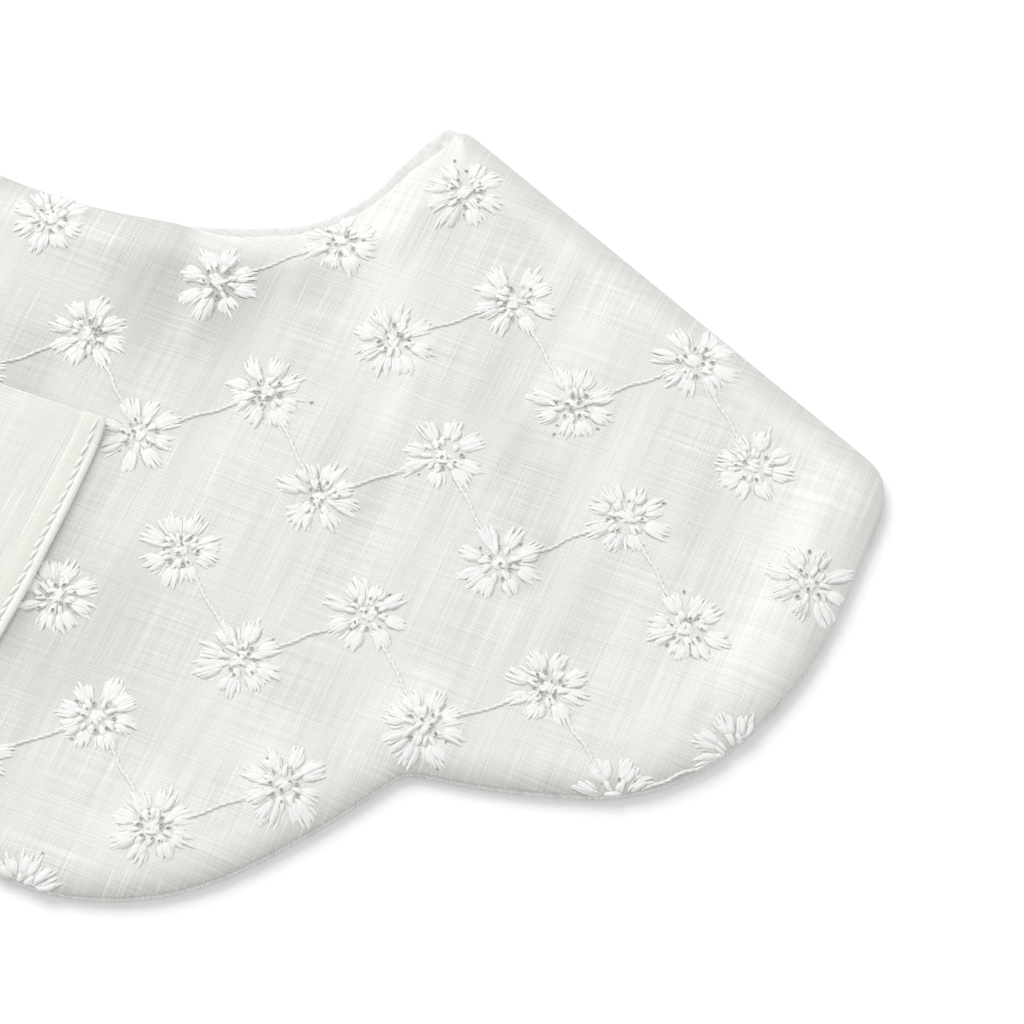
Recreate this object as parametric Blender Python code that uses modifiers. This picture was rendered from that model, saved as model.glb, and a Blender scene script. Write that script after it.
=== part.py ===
"""Embroidered baby bib with a scalloped hem, laid out flat with its embroidered side up.

An embroidered cotton front is sewn to a plain cotton lining and turned right side out, so the
edges are rolled seams. A plain woven label lies across the chest. A plain neck strap is sewn into
the seam beside the left neck tip, and a sew-on press stud closes it under the right tip.

Sizes are in millimetres and become metres where a mesh is written. While the pieces are worked
out, x = 0 is the middle of the bib, y = 0 is just under the middle of its neckline, y runs
towards the neck, and z = 0 is the table.
"""
import math
from collections import namedtuple

import bmesh
import bpy
import numpy as np
from mathutils import Vector
from mathutils.geometry import delaunay_2d_cdt

MM = 0.001

# Cloth walls, from the table upwards
LINING_WALL = 1.4
FRONT_WALL = 1.3
LABEL_WALL = 1.0
STRAP_WALL = 1.9
SEAM_GAP = 0.3

# Rolled edges: how far in the cloth reaches its full height, and how high its lip stands
ROLL_WIDTH = 5.5
ROLL_LIP = 0.4
EDGE_INSETS = (0.0, 0.4, 1.0)
UNDERSIDE_INSET = 0.35
SEAM_PUFF = 0.25
PUFF_ENDS = (6.0, 12.0)
FOLDS_START = 9.0
CORNER_SOFTNESS = 3.0

# Spacing of the fine outline, and of the points that a mesh keeps of it
FINE_STEP = 0.25
COARSE = 4
SAG = 0.045
LONGEST_STEP = 7.5
PLAIN_SPACING = 9.0
RIM_MARGIN = 2.3

# Neckline: the lining shows past the front on both sides of the plain middle stretch
LINING_REACH = 2.6
REACH_GROWS = (23.0, 37.0)
REACH_NARROWS = (52.0, 64.0)
REACH_NARROWING = 0.3
REACH_ENDS = (-2.5, 1.0)
NECKLINE_LOWEST = -3.0

# Embroidery: two interleaved rows of daisies on a square repeat
REPEAT = 35.0
UPPER_DAISY = (21.5, 11.2)
LOWER_DAISY = (39.1, -5.1)
PETALS = 8
PETAL_TIP = 8.1
DAISY_FADES = (1.5, 5.0)
CLEAR_OF_DAISY = 2.0

# Rings of points over a daisy: how far out they stand and how high, on a petal and in a groove
Ring = namedtuple("Ring", "petal petal_rise groove groove_rise")
DAISY_RINGS = (
    Ring(PETAL_TIP, 0.0, 6.7, 0.0),
    Ring(6.2, 0.7, 5.2, 0.08),
    Ring(3.7, 0.6, 3.2, 0.12),
    Ring(1.6, 0.5, 1.6, 0.42),
)
MIDDLE_RISE = 0.22

# Label
LABEL_WIDTH = 67.5
LABEL_HEIGHT = 48.5
LABEL_TOP = -40.0
LABEL_FOLD = 5.0
LABEL_FOLD_RISE = 0.3
LABEL_FOLD_STEP = 0.8
LABEL_SOFT_END = 0.6
LABEL_EDGE_LIFT = 0.5
LABEL_LIFT_LENGTH = 9.0
LABEL_MARGIN = 1.0
LABEL_COLUMNS = 9
LABEL_ROWS = 13

# Neck strap and its press stud
STRAP_WIDTH = 20.0
STRAP_LENGTH = 104.0
STRAP_TURN = math.radians(36.0)
STRAP_FROM_TIP = 11.5
STRAP_EDGE = ((0.0, 0.55), (0.3, 1.65), (1.2, STRAP_WALL))
STRAP_STATIONS = 18
STRAP_ROUND_STEPS = 9
STUD_RADIUS = 4.2
STUD_FROM_END = 10.0
STUD_PLATE = 0.8
STUD_POST = 1.1
STUD_POST_RISE = 1.4
SOCKET_RADIUS = 4.6
SOCKET_THICK = 1.2
SOCKET_HOLE = 1.3
SOCKET_DEPTH = 0.8
STUD_BEVEL = 0.4
SOCKET_PLACE = (74.5, 28.5)
ROUND_STEPS = 24

# Right half of the cut, from the middle of the neckline round to the middle cusp of the hem.
# rise is how far the arc to the next mark bows out of the cloth; below 0 it bows into it.
Mark = namedtuple("Mark", "name x y rise")
HALF_CUT = (
    Mark("neck_middle", 0.0, 1.0, -3.1),
    Mark("neck_turn", 48.0, 13.0, -1.9),
    Mark("neck_side", 60.0, 32.0, -0.4),
    Mark("neck_tip", 66.5, 43.8, 0.0),
    Mark("shoulder_end", 165.0, 3.5, 1.3),
    Mark("side_top", 168.0, -8.5, 0.3),
    Mark("side_bottom", 167.5, -32.5, 1.3),
    Mark("side_lobe_in", 160.0, -57.5, 2.3),
    Mark("side_lobe_out", 142.0, -75.0, 1.1),
    Mark("side_cusp", 109.0, -83.0, 0.9),
    Mark("middle_lobe_in", 90.0, -111.0, 3.8),
    Mark("middle_lobe_out", 57.5, -127.0, 4.6),
    Mark("middle_cusp", 0.0, -109.0, 0.0),
)
MARKS = {mark.name: mark for mark in HALF_CUT}
NECK_TIP = MARKS["neck_tip"]
SHOULDER_END = MARKS["shoulder_end"]

# Soft folds along the warp. half_width is across the fold; below 0, rise is a trough.
Fold = namedtuple("Fold", "x y half_length half_width rise")
FOLDS = (
    Fold(38.0, -12.0, 22.0, 9.0, -0.30),
    Fold(67.0, -14.0, 26.0, 5.5, 0.28),
    Fold(84.0, -26.0, 20.0, 5.0, 0.25),
    Fold(100.0, -22.0, 24.0, 6.0, -0.22),
    Fold(106.0, 8.0, 18.0, 7.0, 0.28),
    Fold(129.0, -4.0, 22.0, 6.0, 0.22),
    Fold(120.0, -44.0, 18.0, 6.5, -0.20),
    Fold(152.0, -30.0, 34.0, 6.5, 0.26),
    Fold(64.0, -92.0, 20.0, 6.0, 0.24),
    Fold(48.0, -66.0, 26.0, 6.0, -0.20),
    Fold(-43.0, -6.0, 20.0, 8.0, -0.26),
    Fold(-61.0, -30.0, 28.0, 5.5, 0.26),
    Fold(-80.0, -12.0, 20.0, 5.0, 0.22),
    Fold(-95.0, -36.0, 26.0, 6.0, -0.24),
    Fold(-112.0, -8.0, 24.0, 6.5, 0.26),
    Fold(-133.0, -30.0, 22.0, 6.0, -0.20),
    Fold(-148.0, -24.0, 32.0, 7.0, 0.24),
    Fold(-58.0, -88.0, 22.0, 6.5, 0.22),
    Fold(-18.0, -20.0, 16.0, 6.0, 0.16),
)

LINING_TOP = LINING_WALL
FRONT_UNDER = LINING_TOP + SEAM_GAP
FRONT_TOP = FRONT_UNDER + FRONT_WALL


def smooth_step(value, start, end):
    """0 up to start, 1 from end on, and an S-shaped cubic between them."""
    t = np.clip((value - start) / (end - start), 0.0, 1.0)
    return t * t * (3.0 - 2.0 * t)


def arc_points(start, end, rise):
    """Points from start up to, but without, end on the arc that bows rise to the left of the chord."""
    start, end = np.array(start), np.array(end)
    chord = np.hypot(*(end - start))
    along = (end - start) / chord
    left = np.array((-along[1], along[0]))
    steps = max(2, int(chord / FINE_STEP))
    t = np.linspace(-1.0, 1.0, steps, endpoint=False)
    if rise == 0.0:
        return start + np.outer((t + 1.0) / 2.0 * chord, along)
    half_angle = 2.0 * math.atan(2.0 * rise / chord)
    forward = chord / 2.0 * (1.0 + np.sin(half_angle * t) / math.sin(half_angle))
    bow = rise * (np.cos(half_angle * t) - math.cos(half_angle)) / (1.0 - math.cos(half_angle))
    return start + np.outer(forward, along) + np.outer(bow, left)


def walk(closed_line, spacing):
    """Points along a closed line, spacing apart."""
    loop = np.vstack((closed_line, closed_line[:1]))
    travelled = np.concatenate(((0.0,), np.cumsum(np.hypot(*np.diff(loop, axis=0).T))))
    count = int(travelled[-1] / spacing)
    stations = np.linspace(0.0, travelled[-1], count, endpoint=False)
    return np.column_stack([np.interp(stations, travelled, loop[:, axis]) for axis in (0, 1)])


def soften(closed_line, spacing, width):
    """Rounds the corners of an evenly spaced closed line with two moving averages."""
    reach = max(1, int(width / spacing / 2.0))
    shifts = range(-reach, reach + 1)
    for _ in range(2):
        closed_line = sum(np.roll(closed_line, shift, axis=0) for shift in shifts) / len(shifts)
    return closed_line


def thin_out(closed_line):
    """Keeps the points of a fine closed line that its bends need: close in bends, wide on straights."""
    before, after = np.roll(closed_line, 1, axis=0), np.roll(closed_line, -1, axis=0)
    bend = np.hypot(*(before - 2.0 * closed_line + after).T) / FINE_STEP**2
    bend = np.maximum.reduce([np.roll(bend, shift) for shift in range(-4, 5)])
    step = np.minimum(LONGEST_STEP, np.sqrt(8.0 * SAG / np.maximum(bend, 1e-6)))
    share = np.cumsum(FINE_STEP / step)
    count = int(math.ceil(share[-1]))
    places = np.searchsorted(share, (np.arange(count) + 0.5) / count * share[-1])
    return closed_line[places]


def outward(closed_line):
    """Unit normals of a counterclockwise closed line, pointing out of it."""
    tangent = np.roll(closed_line, -1, axis=0) - np.roll(closed_line, 1, axis=0)
    normal = np.column_stack((tangent[:, 1], -tangent[:, 0]))
    return normal / np.hypot(*normal.T)[:, None]


def bib_cut():
    """The whole cut as a fine counterclockwise closed line: the half cut and its mirror image."""
    right = [
        arc_points((a.x, a.y), (b.x, b.y), a.rise) for a, b in zip(HALF_CUT, HALF_CUT[1:])
    ]
    right.append(np.array([(HALF_CUT[-1].x, HALF_CUT[-1].y)]))
    right = np.vstack(right)
    left = right[1:-1][::-1] * (-1.0, 1.0)
    line = soften(walk(np.vstack((right, left)), FINE_STEP), FINE_STEP, CORNER_SOFTNESS)
    return line[::-1]


def front_cut(cut):
    """The cut with its neckline drawn back, so that the lining shows past it."""
    across = np.abs(cut[:, 0])
    past_tip = across - NECK_TIP.x
    on_neckline = (cut[:, 1] > NECKLINE_LOWEST) & (past_tip < REACH_ENDS[1])
    reach = LINING_REACH * smooth_step(across, *REACH_GROWS)
    reach *= 1.0 - REACH_NARROWING * smooth_step(across, *REACH_NARROWS)
    reach *= 1.0 - smooth_step(past_tip, *REACH_ENDS)
    drawn_back = cut - outward(cut) * (reach * on_neckline)[:, None]
    return soften(walk(drawn_back, FINE_STEP), FINE_STEP, CORNER_SOFTNESS)


def distance_in(points, closed_line):
    """How far each point lies from a closed line, below 0 outside it."""
    start, end = closed_line, np.roll(closed_line, -1, axis=0)
    run = end - start
    offset = points[:, None, :] - start
    share = np.clip((offset * run).sum(-1) / (run * run).sum(-1), 0.0, 1.0)
    gap = np.hypot(*np.moveaxis(offset - share[..., None] * run, -1, 0)).min(1)
    crosses = (start[:, 1] > points[:, None, 1]) != (end[:, 1] > points[:, None, 1])
    rise = np.where(run[:, 1] == 0.0, 1.0, run[:, 1])
    at_x = start[:, 0] + (points[:, None, 1] - start[:, 1]) / rise * run[:, 0]
    inside = (crosses & (points[:, None, 0] < at_x)).sum(1) % 2 == 1
    return np.where(inside, gap, -gap)


def daisy_centres(cut):
    """Middles of the daisies that lie on the front, or within a petal of its edge."""
    columns, rows = np.meshgrid(np.arange(-7, 7), np.arange(-1, 7))
    steps = np.column_stack((columns.ravel() * REPEAT, -rows.ravel() * REPEAT))
    centres = np.vstack((steps + UPPER_DAISY, steps + LOWER_DAISY))
    return centres[distance_in(centres, cut) > -0.5 * PETAL_TIP]


def folds_at(points):
    """Height of the soft folds: each is a bell across its width and fades out along its length."""
    height = np.zeros(len(points))
    for fold in FOLDS:
        across = (points[:, 0] - fold.x) / fold.half_width
        along = (points[:, 1] - fold.y) / fold.half_length
        height += fold.rise * np.exp(-(across**2) - along**4)
    return height


def front_height(points, depth):
    """Height of the front's upper side without embroidery: a rolled edge, a puffed seam and folds."""
    rolled = np.sqrt(1.0 - (1.0 - np.clip(depth / ROLL_WIDTH, 0.0, 1.0)) ** 2)
    puff = SEAM_PUFF * rolled * (1.0 - smooth_step(depth, *PUFF_ENDS))
    lip = FRONT_UNDER + ROLL_LIP
    folds = folds_at(points) * smooth_step(depth, 0.0, FOLDS_START)
    return lip + (FRONT_TOP - lip) * rolled + puff + folds


def daisy_points():
    """Offsets and heights of a daisy's points: petals with grooves between them, and its middle."""
    angle = math.pi / PETALS * np.arange(2 * PETALS)
    direction = np.column_stack((np.cos(angle), np.sin(angle)))
    on_petal = np.arange(2 * PETALS) % 2 == 0
    places = [np.where(on_petal, ring.petal, ring.groove)[:, None] * direction for ring in DAISY_RINGS]
    rises = [np.where(on_petal, ring.petal_rise, ring.groove_rise) for ring in DAISY_RINGS]
    return np.vstack(places + [np.zeros((1, 2))]), np.concatenate(rises + [[MIDDLE_RISE]])


def on_label(points, margin):
    """Whether each point lies under the label or within margin of it."""
    across = np.abs(points[:, 0]) < LABEL_WIDTH / 2.0 + margin
    lowest = LABEL_TOP - LABEL_HEIGHT - margin
    return across & (points[:, 1] < LABEL_TOP + margin) & (points[:, 1] > lowest)


def front_inner_points(cut):
    """Points inside the front's rim, with the daisies raised, and plain points between them."""
    centres = daisy_centres(cut)
    offsets, heights = daisy_points()
    daisies = (centres[:, None] + offsets).reshape(-1, 2)
    columns, rows = np.meshgrid(np.arange(-20, 21), np.arange(-16, 8))
    across = (columns + 0.5 * (rows % 2)) * PLAIN_SPACING
    plain = np.column_stack((across.ravel(), rows.ravel() * PLAIN_SPACING * math.sqrt(0.75)))
    nearest = np.hypot(*np.moveaxis(plain[:, None] - centres, -1, 0)).min(1)
    plain = plain[nearest > PETAL_TIP + CLEAR_OF_DAISY]
    places = np.vstack((daisies, plain))
    rises = np.concatenate((np.tile(heights, len(centres)), np.zeros(len(plain))))
    depth = distance_in(places, cut)
    keep = depth > RIM_MARGIN
    places, rises, depth = places[keep], rises[keep], depth[keep]
    rises = rises * smooth_step(depth, *DAISY_FADES) * ~on_label(places, LABEL_MARGIN)
    return places, front_height(places, depth) + rises


def cloth_wall(name, rim, under, edge_heights, inner=None):
    """A closed cloth wall: a flat underside, rings that roll over the edge, and an upper side.

    rim is the counterclockwise outline, edge_heights maps how far in a ring lies to its heights,
    and inner is a pair of the points and heights inside the last ring.
    """
    normals = outward(rim)
    rings = [np.column_stack((rim - normals * UNDERSIDE_INSET, np.full(len(rim), under)))]
    for inset, heights in edge_heights:
        ring = rim - normals * inset
        rings.append(np.column_stack((ring, np.broadcast_to(heights, len(rim)))))
    count = len(rim)
    corners = np.arange(count)
    following = (corners + 1) % count
    faces = [tuple(corners[::-1])]
    for level in range(len(rings) - 1):
        low, high = level * count, (level + 1) * count
        faces += [
            (low + a, low + b, high + b, high + a) for a, b in zip(corners.tolist(), following.tolist())
        ]
    points = np.vstack(rings)
    last = (len(rings) - 1) * count
    flat = [Vector(place) for place in points[last:, :2]]
    heights = points[last:, 2]
    if inner is not None:
        flat += [Vector(place) for place in inner[0]]
        heights = np.concatenate((heights, inner[1]))
    edges = list(zip(corners.tolist(), following.tolist()))
    places, _, triangles, sources, _, _ = delaunay_2d_cdt(flat, edges, [], 1, 1e-5)
    order = [last + source[0] for source in sources]
    spare = np.column_stack((np.array([tuple(place) for place in places]), np.zeros(len(places))))
    spare[:, 2] = [heights[source[0]] for source in sources]
    upper = np.vstack((points[:last], np.zeros((len(flat), 3))))
    upper[order] = spare
    faces += [tuple(order[corner] for corner in triangle) for triangle in triangles]
    return finish_mesh(name, upper, faces)


def finish_mesh(name, points, faces):
    """Writes millimetre points as a mesh object in metres, around the middle of the whole bib."""
    mesh = bpy.data.meshes.new(name)
    shifted = (np.asarray(points) - (0.0, BIB_MIDDLE, 0.0)) * MM
    mesh.from_pydata(shifted.tolist(), [], faces)
    model = bmesh.new()
    model.from_mesh(mesh)
    loose = [vertex for vertex in model.verts if not vertex.link_faces]
    bmesh.ops.delete(model, geom=loose, context="VERTS")
    bmesh.ops.recalc_face_normals(model, faces=model.faces)
    model.to_mesh(mesh)
    model.free()
    return bpy.data.objects.new(name, mesh)


def rolled_rings(cut):
    """The front's rim, and its edge rings as pairs of an inset and its heights."""
    rim = thin_out(cut)
    normals = outward(rim)
    depths = {inset: np.full(len(rim), inset) for inset in EDGE_INSETS}
    return rim, [(inset, front_height(rim - normals * inset, depth)) for inset, depth in depths.items()]


def make_front(cut):
    """The embroidered front."""
    front = front_cut(cut)
    rim, rings = rolled_rings(front)
    return cloth_wall("front_panel", rim, FRONT_UNDER, rings, front_inner_points(front[::COARSE]))


def make_lining(cut):
    """The plain lining, which lies on the table and reaches past the front at the neckline."""
    rim = thin_out(cut)
    rings = [(EDGE_INSETS[0], 0.5 * LINING_WALL), (EDGE_INSETS[1], LINING_TOP)]
    return cloth_wall("back_lining", rim, 0.0, rings)


def label_height(points):
    """The label's underside: it follows the folds of the front, and its free top edge lifts off."""
    lift = LABEL_EDGE_LIFT * smooth_step(points[:, 1], LABEL_TOP - LABEL_LIFT_LENGTH, LABEL_TOP)
    return FRONT_TOP + SEAM_GAP + folds_at(points) + lift


def make_label():
    """The label: a plain tape with its two ends folded under, made from the points it lies on."""
    half = LABEL_WIDTH / 2.0
    ends = np.array((half, half - LABEL_SOFT_END, half - LABEL_FOLD + LABEL_FOLD_STEP, half - LABEL_FOLD))
    between = np.linspace(LABEL_FOLD - half, half - LABEL_FOLD, LABEL_COLUMNS)[1:-1]
    columns = np.sort(np.concatenate((-ends, between, ends)))
    rows = LABEL_TOP - np.linspace(LABEL_HEIGHT, 0.0, LABEL_ROWS)
    across, up = np.meshgrid(columns, rows)
    spots = np.column_stack((across.ravel(), up.ravel()))
    under = label_height(spots)
    from_end = half - np.abs(spots[:, 0])
    fold = LABEL_FOLD_RISE * (1.0 - smooth_step(from_end, LABEL_FOLD - LABEL_FOLD_STEP, LABEL_FOLD))
    fold *= 0.4 + 0.6 * smooth_step(from_end, 0.0, LABEL_SOFT_END)
    upper = under + LABEL_WALL + fold
    wide, high = len(columns), len(rows)
    count = wide * high
    points = np.vstack((np.column_stack((spots, under)), np.column_stack((spots, upper))))
    numbers = np.arange(count).reshape(high, wide)
    quads = np.stack((numbers[:-1, :-1], numbers[:-1, 1:], numbers[1:, 1:], numbers[1:, :-1]), -1)
    quads = quads.reshape(-1, 4)
    border = np.concatenate((numbers[0, :], numbers[1:, -1], numbers[-1, -2::-1], numbers[-2:0:-1, 0]))
    after = np.roll(border, -1)
    sides = np.column_stack((border, after, after + count, border + count))
    faces = np.vstack((quads[:, ::-1], quads + count, sides)).tolist()
    return finish_mesh("centre_label", points, faces)


def shoulder_frame():
    """The left shoulder edge: its start at the tip, its direction, and its outward normal."""
    tip = np.array((-NECK_TIP.x, NECK_TIP.y))
    end = np.array((-SHOULDER_END.x, SHOULDER_END.y))
    along = (end - tip) / np.hypot(*(end - tip))
    return tip, along, np.array((along[1], -along[0]))


def strap_middle(travelled):
    """Points and headings on the strap's middle line, an arc that leaves the shoulder at a right angle."""
    tip, along, away = shoulder_frame()
    start = tip + along * STRAP_FROM_TIP + away * SEAM_GAP
    heading = math.atan2(away[1], away[0])
    radius = STRAP_LENGTH / STRAP_TURN
    turned = heading - travelled / radius
    x = start[0] + radius * (math.sin(heading) - np.sin(turned))
    y = start[1] - radius * (math.cos(heading) - np.cos(turned))
    return np.column_stack((x, y)), turned


def strap_cut():
    """The strap's counterclockwise outline, with a half-round end."""
    half = STRAP_WIDTH / 2.0
    straight = STRAP_LENGTH - half
    round_share = np.sin(np.linspace(0.0, math.pi / 2.0, STRAP_ROUND_STEPS))
    stations = np.linspace(0.0, straight, STRAP_STATIONS, endpoint=False)
    travelled = np.concatenate((stations, straight + half * round_share))
    middle, turned = strap_middle(travelled)
    past_round = np.clip((travelled - straight) / half, 0.0, 1.0)
    width = half * np.sqrt(1.0 - past_round**2)
    right = np.column_stack((np.sin(turned), -np.cos(turned))) * width[:, None]
    return np.vstack((middle + right, (middle - right)[:-1][::-1]))


def make_strap():
    """The plain neck strap, a turned tube of cloth pressed flat."""
    return cloth_wall("neck_strap", strap_cut(), 0.0, STRAP_EDGE)


def turned_piece(name, profile, place, base):
    """A round piece: a profile of radius and height, outer side downwards, turned about its axis."""
    mesh = bpy.data.meshes.new(name)
    points = [(radius * MM, 0.0, height * MM) for radius, height in profile]
    mesh.from_pydata(points, [(number, number + 1) for number in range(len(points) - 1)], [])
    piece = bpy.data.objects.new(name, mesh)
    piece.location = (place[0] * MM, (place[1] - BIB_MIDDLE) * MM, base * MM)
    turn = piece.modifiers.new("turn", "SCREW")
    turn.steps = turn.render_steps = ROUND_STEPS
    turn.use_merge_vertices = True
    turn.merge_threshold = 0.00001
    return piece


def make_stud():
    """The post half of the press stud, sewn on the strap's end."""
    post_top = STUD_PLATE + STUD_POST_RISE
    half_bevel = STUD_BEVEL / 2.0
    profile = (
        (0.0, post_top),
        (STUD_POST - half_bevel, post_top),
        (STUD_POST, post_top - STUD_BEVEL),
        (STUD_POST - half_bevel, STUD_PLATE),
        (STUD_RADIUS - 2.0 * STUD_BEVEL, STUD_PLATE),
        (STUD_RADIUS, STUD_PLATE / 2.0),
        (STUD_RADIUS - half_bevel, 0.0),
        (0.0, 0.0),
    )
    middle, _ = strap_middle(np.array([STRAP_LENGTH - STUD_FROM_END]))
    return turned_piece("press_stud_post", profile, middle[0], STRAP_WALL + SEAM_GAP)


def make_socket():
    """The socket half of the press stud, let into the lining under the right tip."""
    half_bevel = STUD_BEVEL / 2.0
    profile = (
        (0.0, SOCKET_THICK),
        (SOCKET_RADIUS - STUD_BEVEL, SOCKET_THICK),
        (SOCKET_RADIUS, SOCKET_THICK - STUD_BEVEL),
        (SOCKET_RADIUS, half_bevel),
        (SOCKET_RADIUS - half_bevel, 0.0),
        (SOCKET_HOLE + half_bevel, 0.0),
        (SOCKET_HOLE, half_bevel),
        (SOCKET_HOLE, SOCKET_DEPTH),
        (0.0, SOCKET_DEPTH),
    )
    return turned_piece("press_stud_socket", profile, SOCKET_PLACE, 0.0)


def cut_socket_seat(lining, cutters):
    """Cuts the round seat of the socket through the lining."""
    bpy.ops.mesh.primitive_cylinder_add(
        vertices=ROUND_STEPS,
        radius=(SOCKET_RADIUS + SEAM_GAP) * MM,
        depth=3.0 * LINING_WALL * MM,
        location=(SOCKET_PLACE[0] * MM, (SOCKET_PLACE[1] - BIB_MIDDLE) * MM, LINING_WALL / 2.0 * MM),
    )
    cutter = bpy.context.object
    cutter.name = "socket_seat_cutter"
    for owner in list(cutter.users_collection):
        owner.objects.unlink(cutter)
    cutters.objects.link(cutter)
    cutter.hide_render = True
    cutter.display_type = "WIRE"
    seat = lining.modifiers.new("socket_seat", "BOOLEAN")
    seat.operation = "DIFFERENCE"
    seat.object = cutter


def paint(piece, colour, roughness):
    """Gives a piece its own Principled material."""
    material = bpy.data.materials.new(piece.name)
    material.use_nodes = True
    shader = material.node_tree.nodes["Principled BSDF"]
    shader.inputs["Base Color"].default_value = (*colour, 1.0)
    shader.inputs["Roughness"].default_value = roughness
    shader.inputs["Metallic"].default_value = 0.0
    piece.data.materials.append(material)


for old in list(bpy.data.objects):
    bpy.data.objects.remove(old)

BIB_MIDDLE = (strap_cut()[:, 1].max() + bib_cut()[:, 1].min()) / 2.0

bib = bpy.data.collections.new("embroidered_baby_bib")
cutters = bpy.data.collections.new("cutters")
bpy.context.scene.collection.children.link(bib)
bpy.context.scene.collection.children.link(cutters)

whole_cut = bib_cut()
Finish = namedtuple("Finish", "piece colour roughness")
lining = make_lining(whole_cut)
pieces = (
    Finish(make_front(whole_cut), (0.82, 0.82, 0.79), 0.90),
    Finish(lining, (0.78, 0.78, 0.76), 0.92),
    Finish(make_label(), (0.82, 0.80, 0.75), 0.85),
    Finish(make_strap(), (0.80, 0.80, 0.77), 0.90),
    Finish(make_stud(), (0.85, 0.85, 0.84), 0.35),
    Finish(make_socket(), (0.85, 0.85, 0.84), 0.35),
)
for piece, colour, roughness in pieces:
    bib.objects.link(piece)
    paint(piece, colour, roughness)
cut_socket_seat(lining, cutters)
for piece in bib.objects:
    piece.data.shade_smooth()
    piece.data.set_sharp_from_angle(angle=math.radians(40.0))
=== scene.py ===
"""The looks of an embroidered cotton baby bib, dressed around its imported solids.

Lengths are in millimetres on a plan: x = 0 is the middle of the bib, y = 0 is just under the
middle of its neckline, y runs towards the neck, and z = 0 is the table. They become metres in the
shared frame where a mesh is written.
"""
import math

import bpy
import numpy as np
from mathutils import Euler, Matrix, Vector
from mathutils.geometry import delaunay_2d_cdt


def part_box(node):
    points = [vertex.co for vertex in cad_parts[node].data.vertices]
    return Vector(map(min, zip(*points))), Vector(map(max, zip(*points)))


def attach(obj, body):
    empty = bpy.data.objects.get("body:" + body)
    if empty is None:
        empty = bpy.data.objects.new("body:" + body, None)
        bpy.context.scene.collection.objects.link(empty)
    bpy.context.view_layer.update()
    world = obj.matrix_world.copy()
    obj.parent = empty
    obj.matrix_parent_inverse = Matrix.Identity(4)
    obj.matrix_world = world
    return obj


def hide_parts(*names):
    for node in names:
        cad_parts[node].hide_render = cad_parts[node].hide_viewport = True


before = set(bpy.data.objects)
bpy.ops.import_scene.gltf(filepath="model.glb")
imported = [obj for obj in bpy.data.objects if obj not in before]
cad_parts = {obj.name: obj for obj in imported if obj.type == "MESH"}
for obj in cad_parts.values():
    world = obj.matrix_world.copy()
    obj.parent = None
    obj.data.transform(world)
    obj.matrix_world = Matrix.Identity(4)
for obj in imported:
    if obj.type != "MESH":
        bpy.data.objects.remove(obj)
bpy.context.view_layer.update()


# Back lining: plain cotton cut to the same outline as the front, and sewn to it round the edge.
# It lies on the table, and a finely wrinkled strip of it shows past the front along the neckline.

MM = 0.001
FULL_TURN = 2.0 * math.pi
LABEL_TOP = -40.0
PLAN_ORIGIN = np.array((0.0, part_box("centre_label")[1].y / MM - LABEL_TOP, 0.0))
LINING_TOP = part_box("back_lining")[1].z / MM
RIM_TOLERANCE = 0.15
OUTLINE_STEP = 0.7
OUTLINE_SOFTNESS = 2.0
# The inset and height of each ring of points round its edge, from the table up
LINING_EDGE = ((0.5, 0.0), (0.1, 0.25), (0.0, 0.7), (0.12, 1.12), (0.45, 1.36), (1.0, 1.46))
RING_GAP = 0.4
LINING_SPACING = 4.0
STRIP_SPACING = 0.8
STRIP_WIDTH = 6.0
STRIP_SWELL = 0.06
TIP_PLACE = (67.0, 42.0)
TIP_REACH = 11.5
TIP_SLIDE = (-2.3, 0.15)
NOISE_GRID = 97
WRINKLE_SIZE = (1.5, 5.0)
WRINKLE_RISE = 0.15
SEAT_RADIUS = 4.9
SEAT_TOP = 1.28
SEAT_SIDES = 40
LINING_COLOUR = (0.738, 0.749, 0.724)
# Painted light and shade of fine creases on the lining: the size of its patches and how strong it is
PAINTED_CREASE_SIZE = (1.3, 1.3)
CREASE_LIGHT_AND_SHADE = 0.22
THREAD_PITCH = 0.36
THREAD_RUN = 24.0
SLUB_RUN = 20.0
DRIFT_SIZE = (14.0, 14.0)
DRIFT = 1.6
OPEN_SIZE = (9.0, 9.0)
OPEN_STEP = (0.40, 0.66)
BAND_SIZE = (2.6, 30.0)
WARP_SLUB_STEP = (0.64, 0.74)
WEFT_SLUB_STEP = (0.66, 0.76)


def rim_of(node, height):
    """The closed line, counterclockwise, on which a solid's wall turns over its edge at that height.

    A side of a triangle is on it if both its ends are at that height and its third corner is
    higher. The sides are chained by their ends.
    """
    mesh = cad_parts[node].data
    mesh.calc_loop_triangles()
    corners = np.empty(len(mesh.loop_triangles) * 3, np.int32)
    mesh.loop_triangles.foreach_get("vertices", corners)
    places = np.empty(len(mesh.vertices) * 3, np.float32)
    mesh.vertices.foreach_get("co", places)
    triangles = places.reshape(-1, 3)[corners.reshape(-1, 3)] / MM - PLAN_ORIGIN
    sides = []
    for a, b, c in ((0, 1, 2), (1, 2, 0), (2, 0, 1)):
        level = np.abs(triangles[:, (a, b), 2] - height).max(1) < RIM_TOLERANCE
        higher = triangles[:, c, 2] > height + RIM_TOLERANCE
        sides.append(triangles[level & higher][:, (a, b), :2])
    ends = np.round(np.vstack(sides), 3).tolist()
    following = {tuple(start): tuple(end) for start, end in ends}
    line = [tuple(ends[0][0])]
    while following[line[-1]] != line[0]:
        line.append(following[line[-1]])
    return np.array(line)


def run_of(line):
    """How far along an open line each of its points is: the sum of the steps up to it."""
    return np.concatenate(((0.0,), np.cumsum(np.hypot(*np.diff(line, axis=0).T))))


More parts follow.
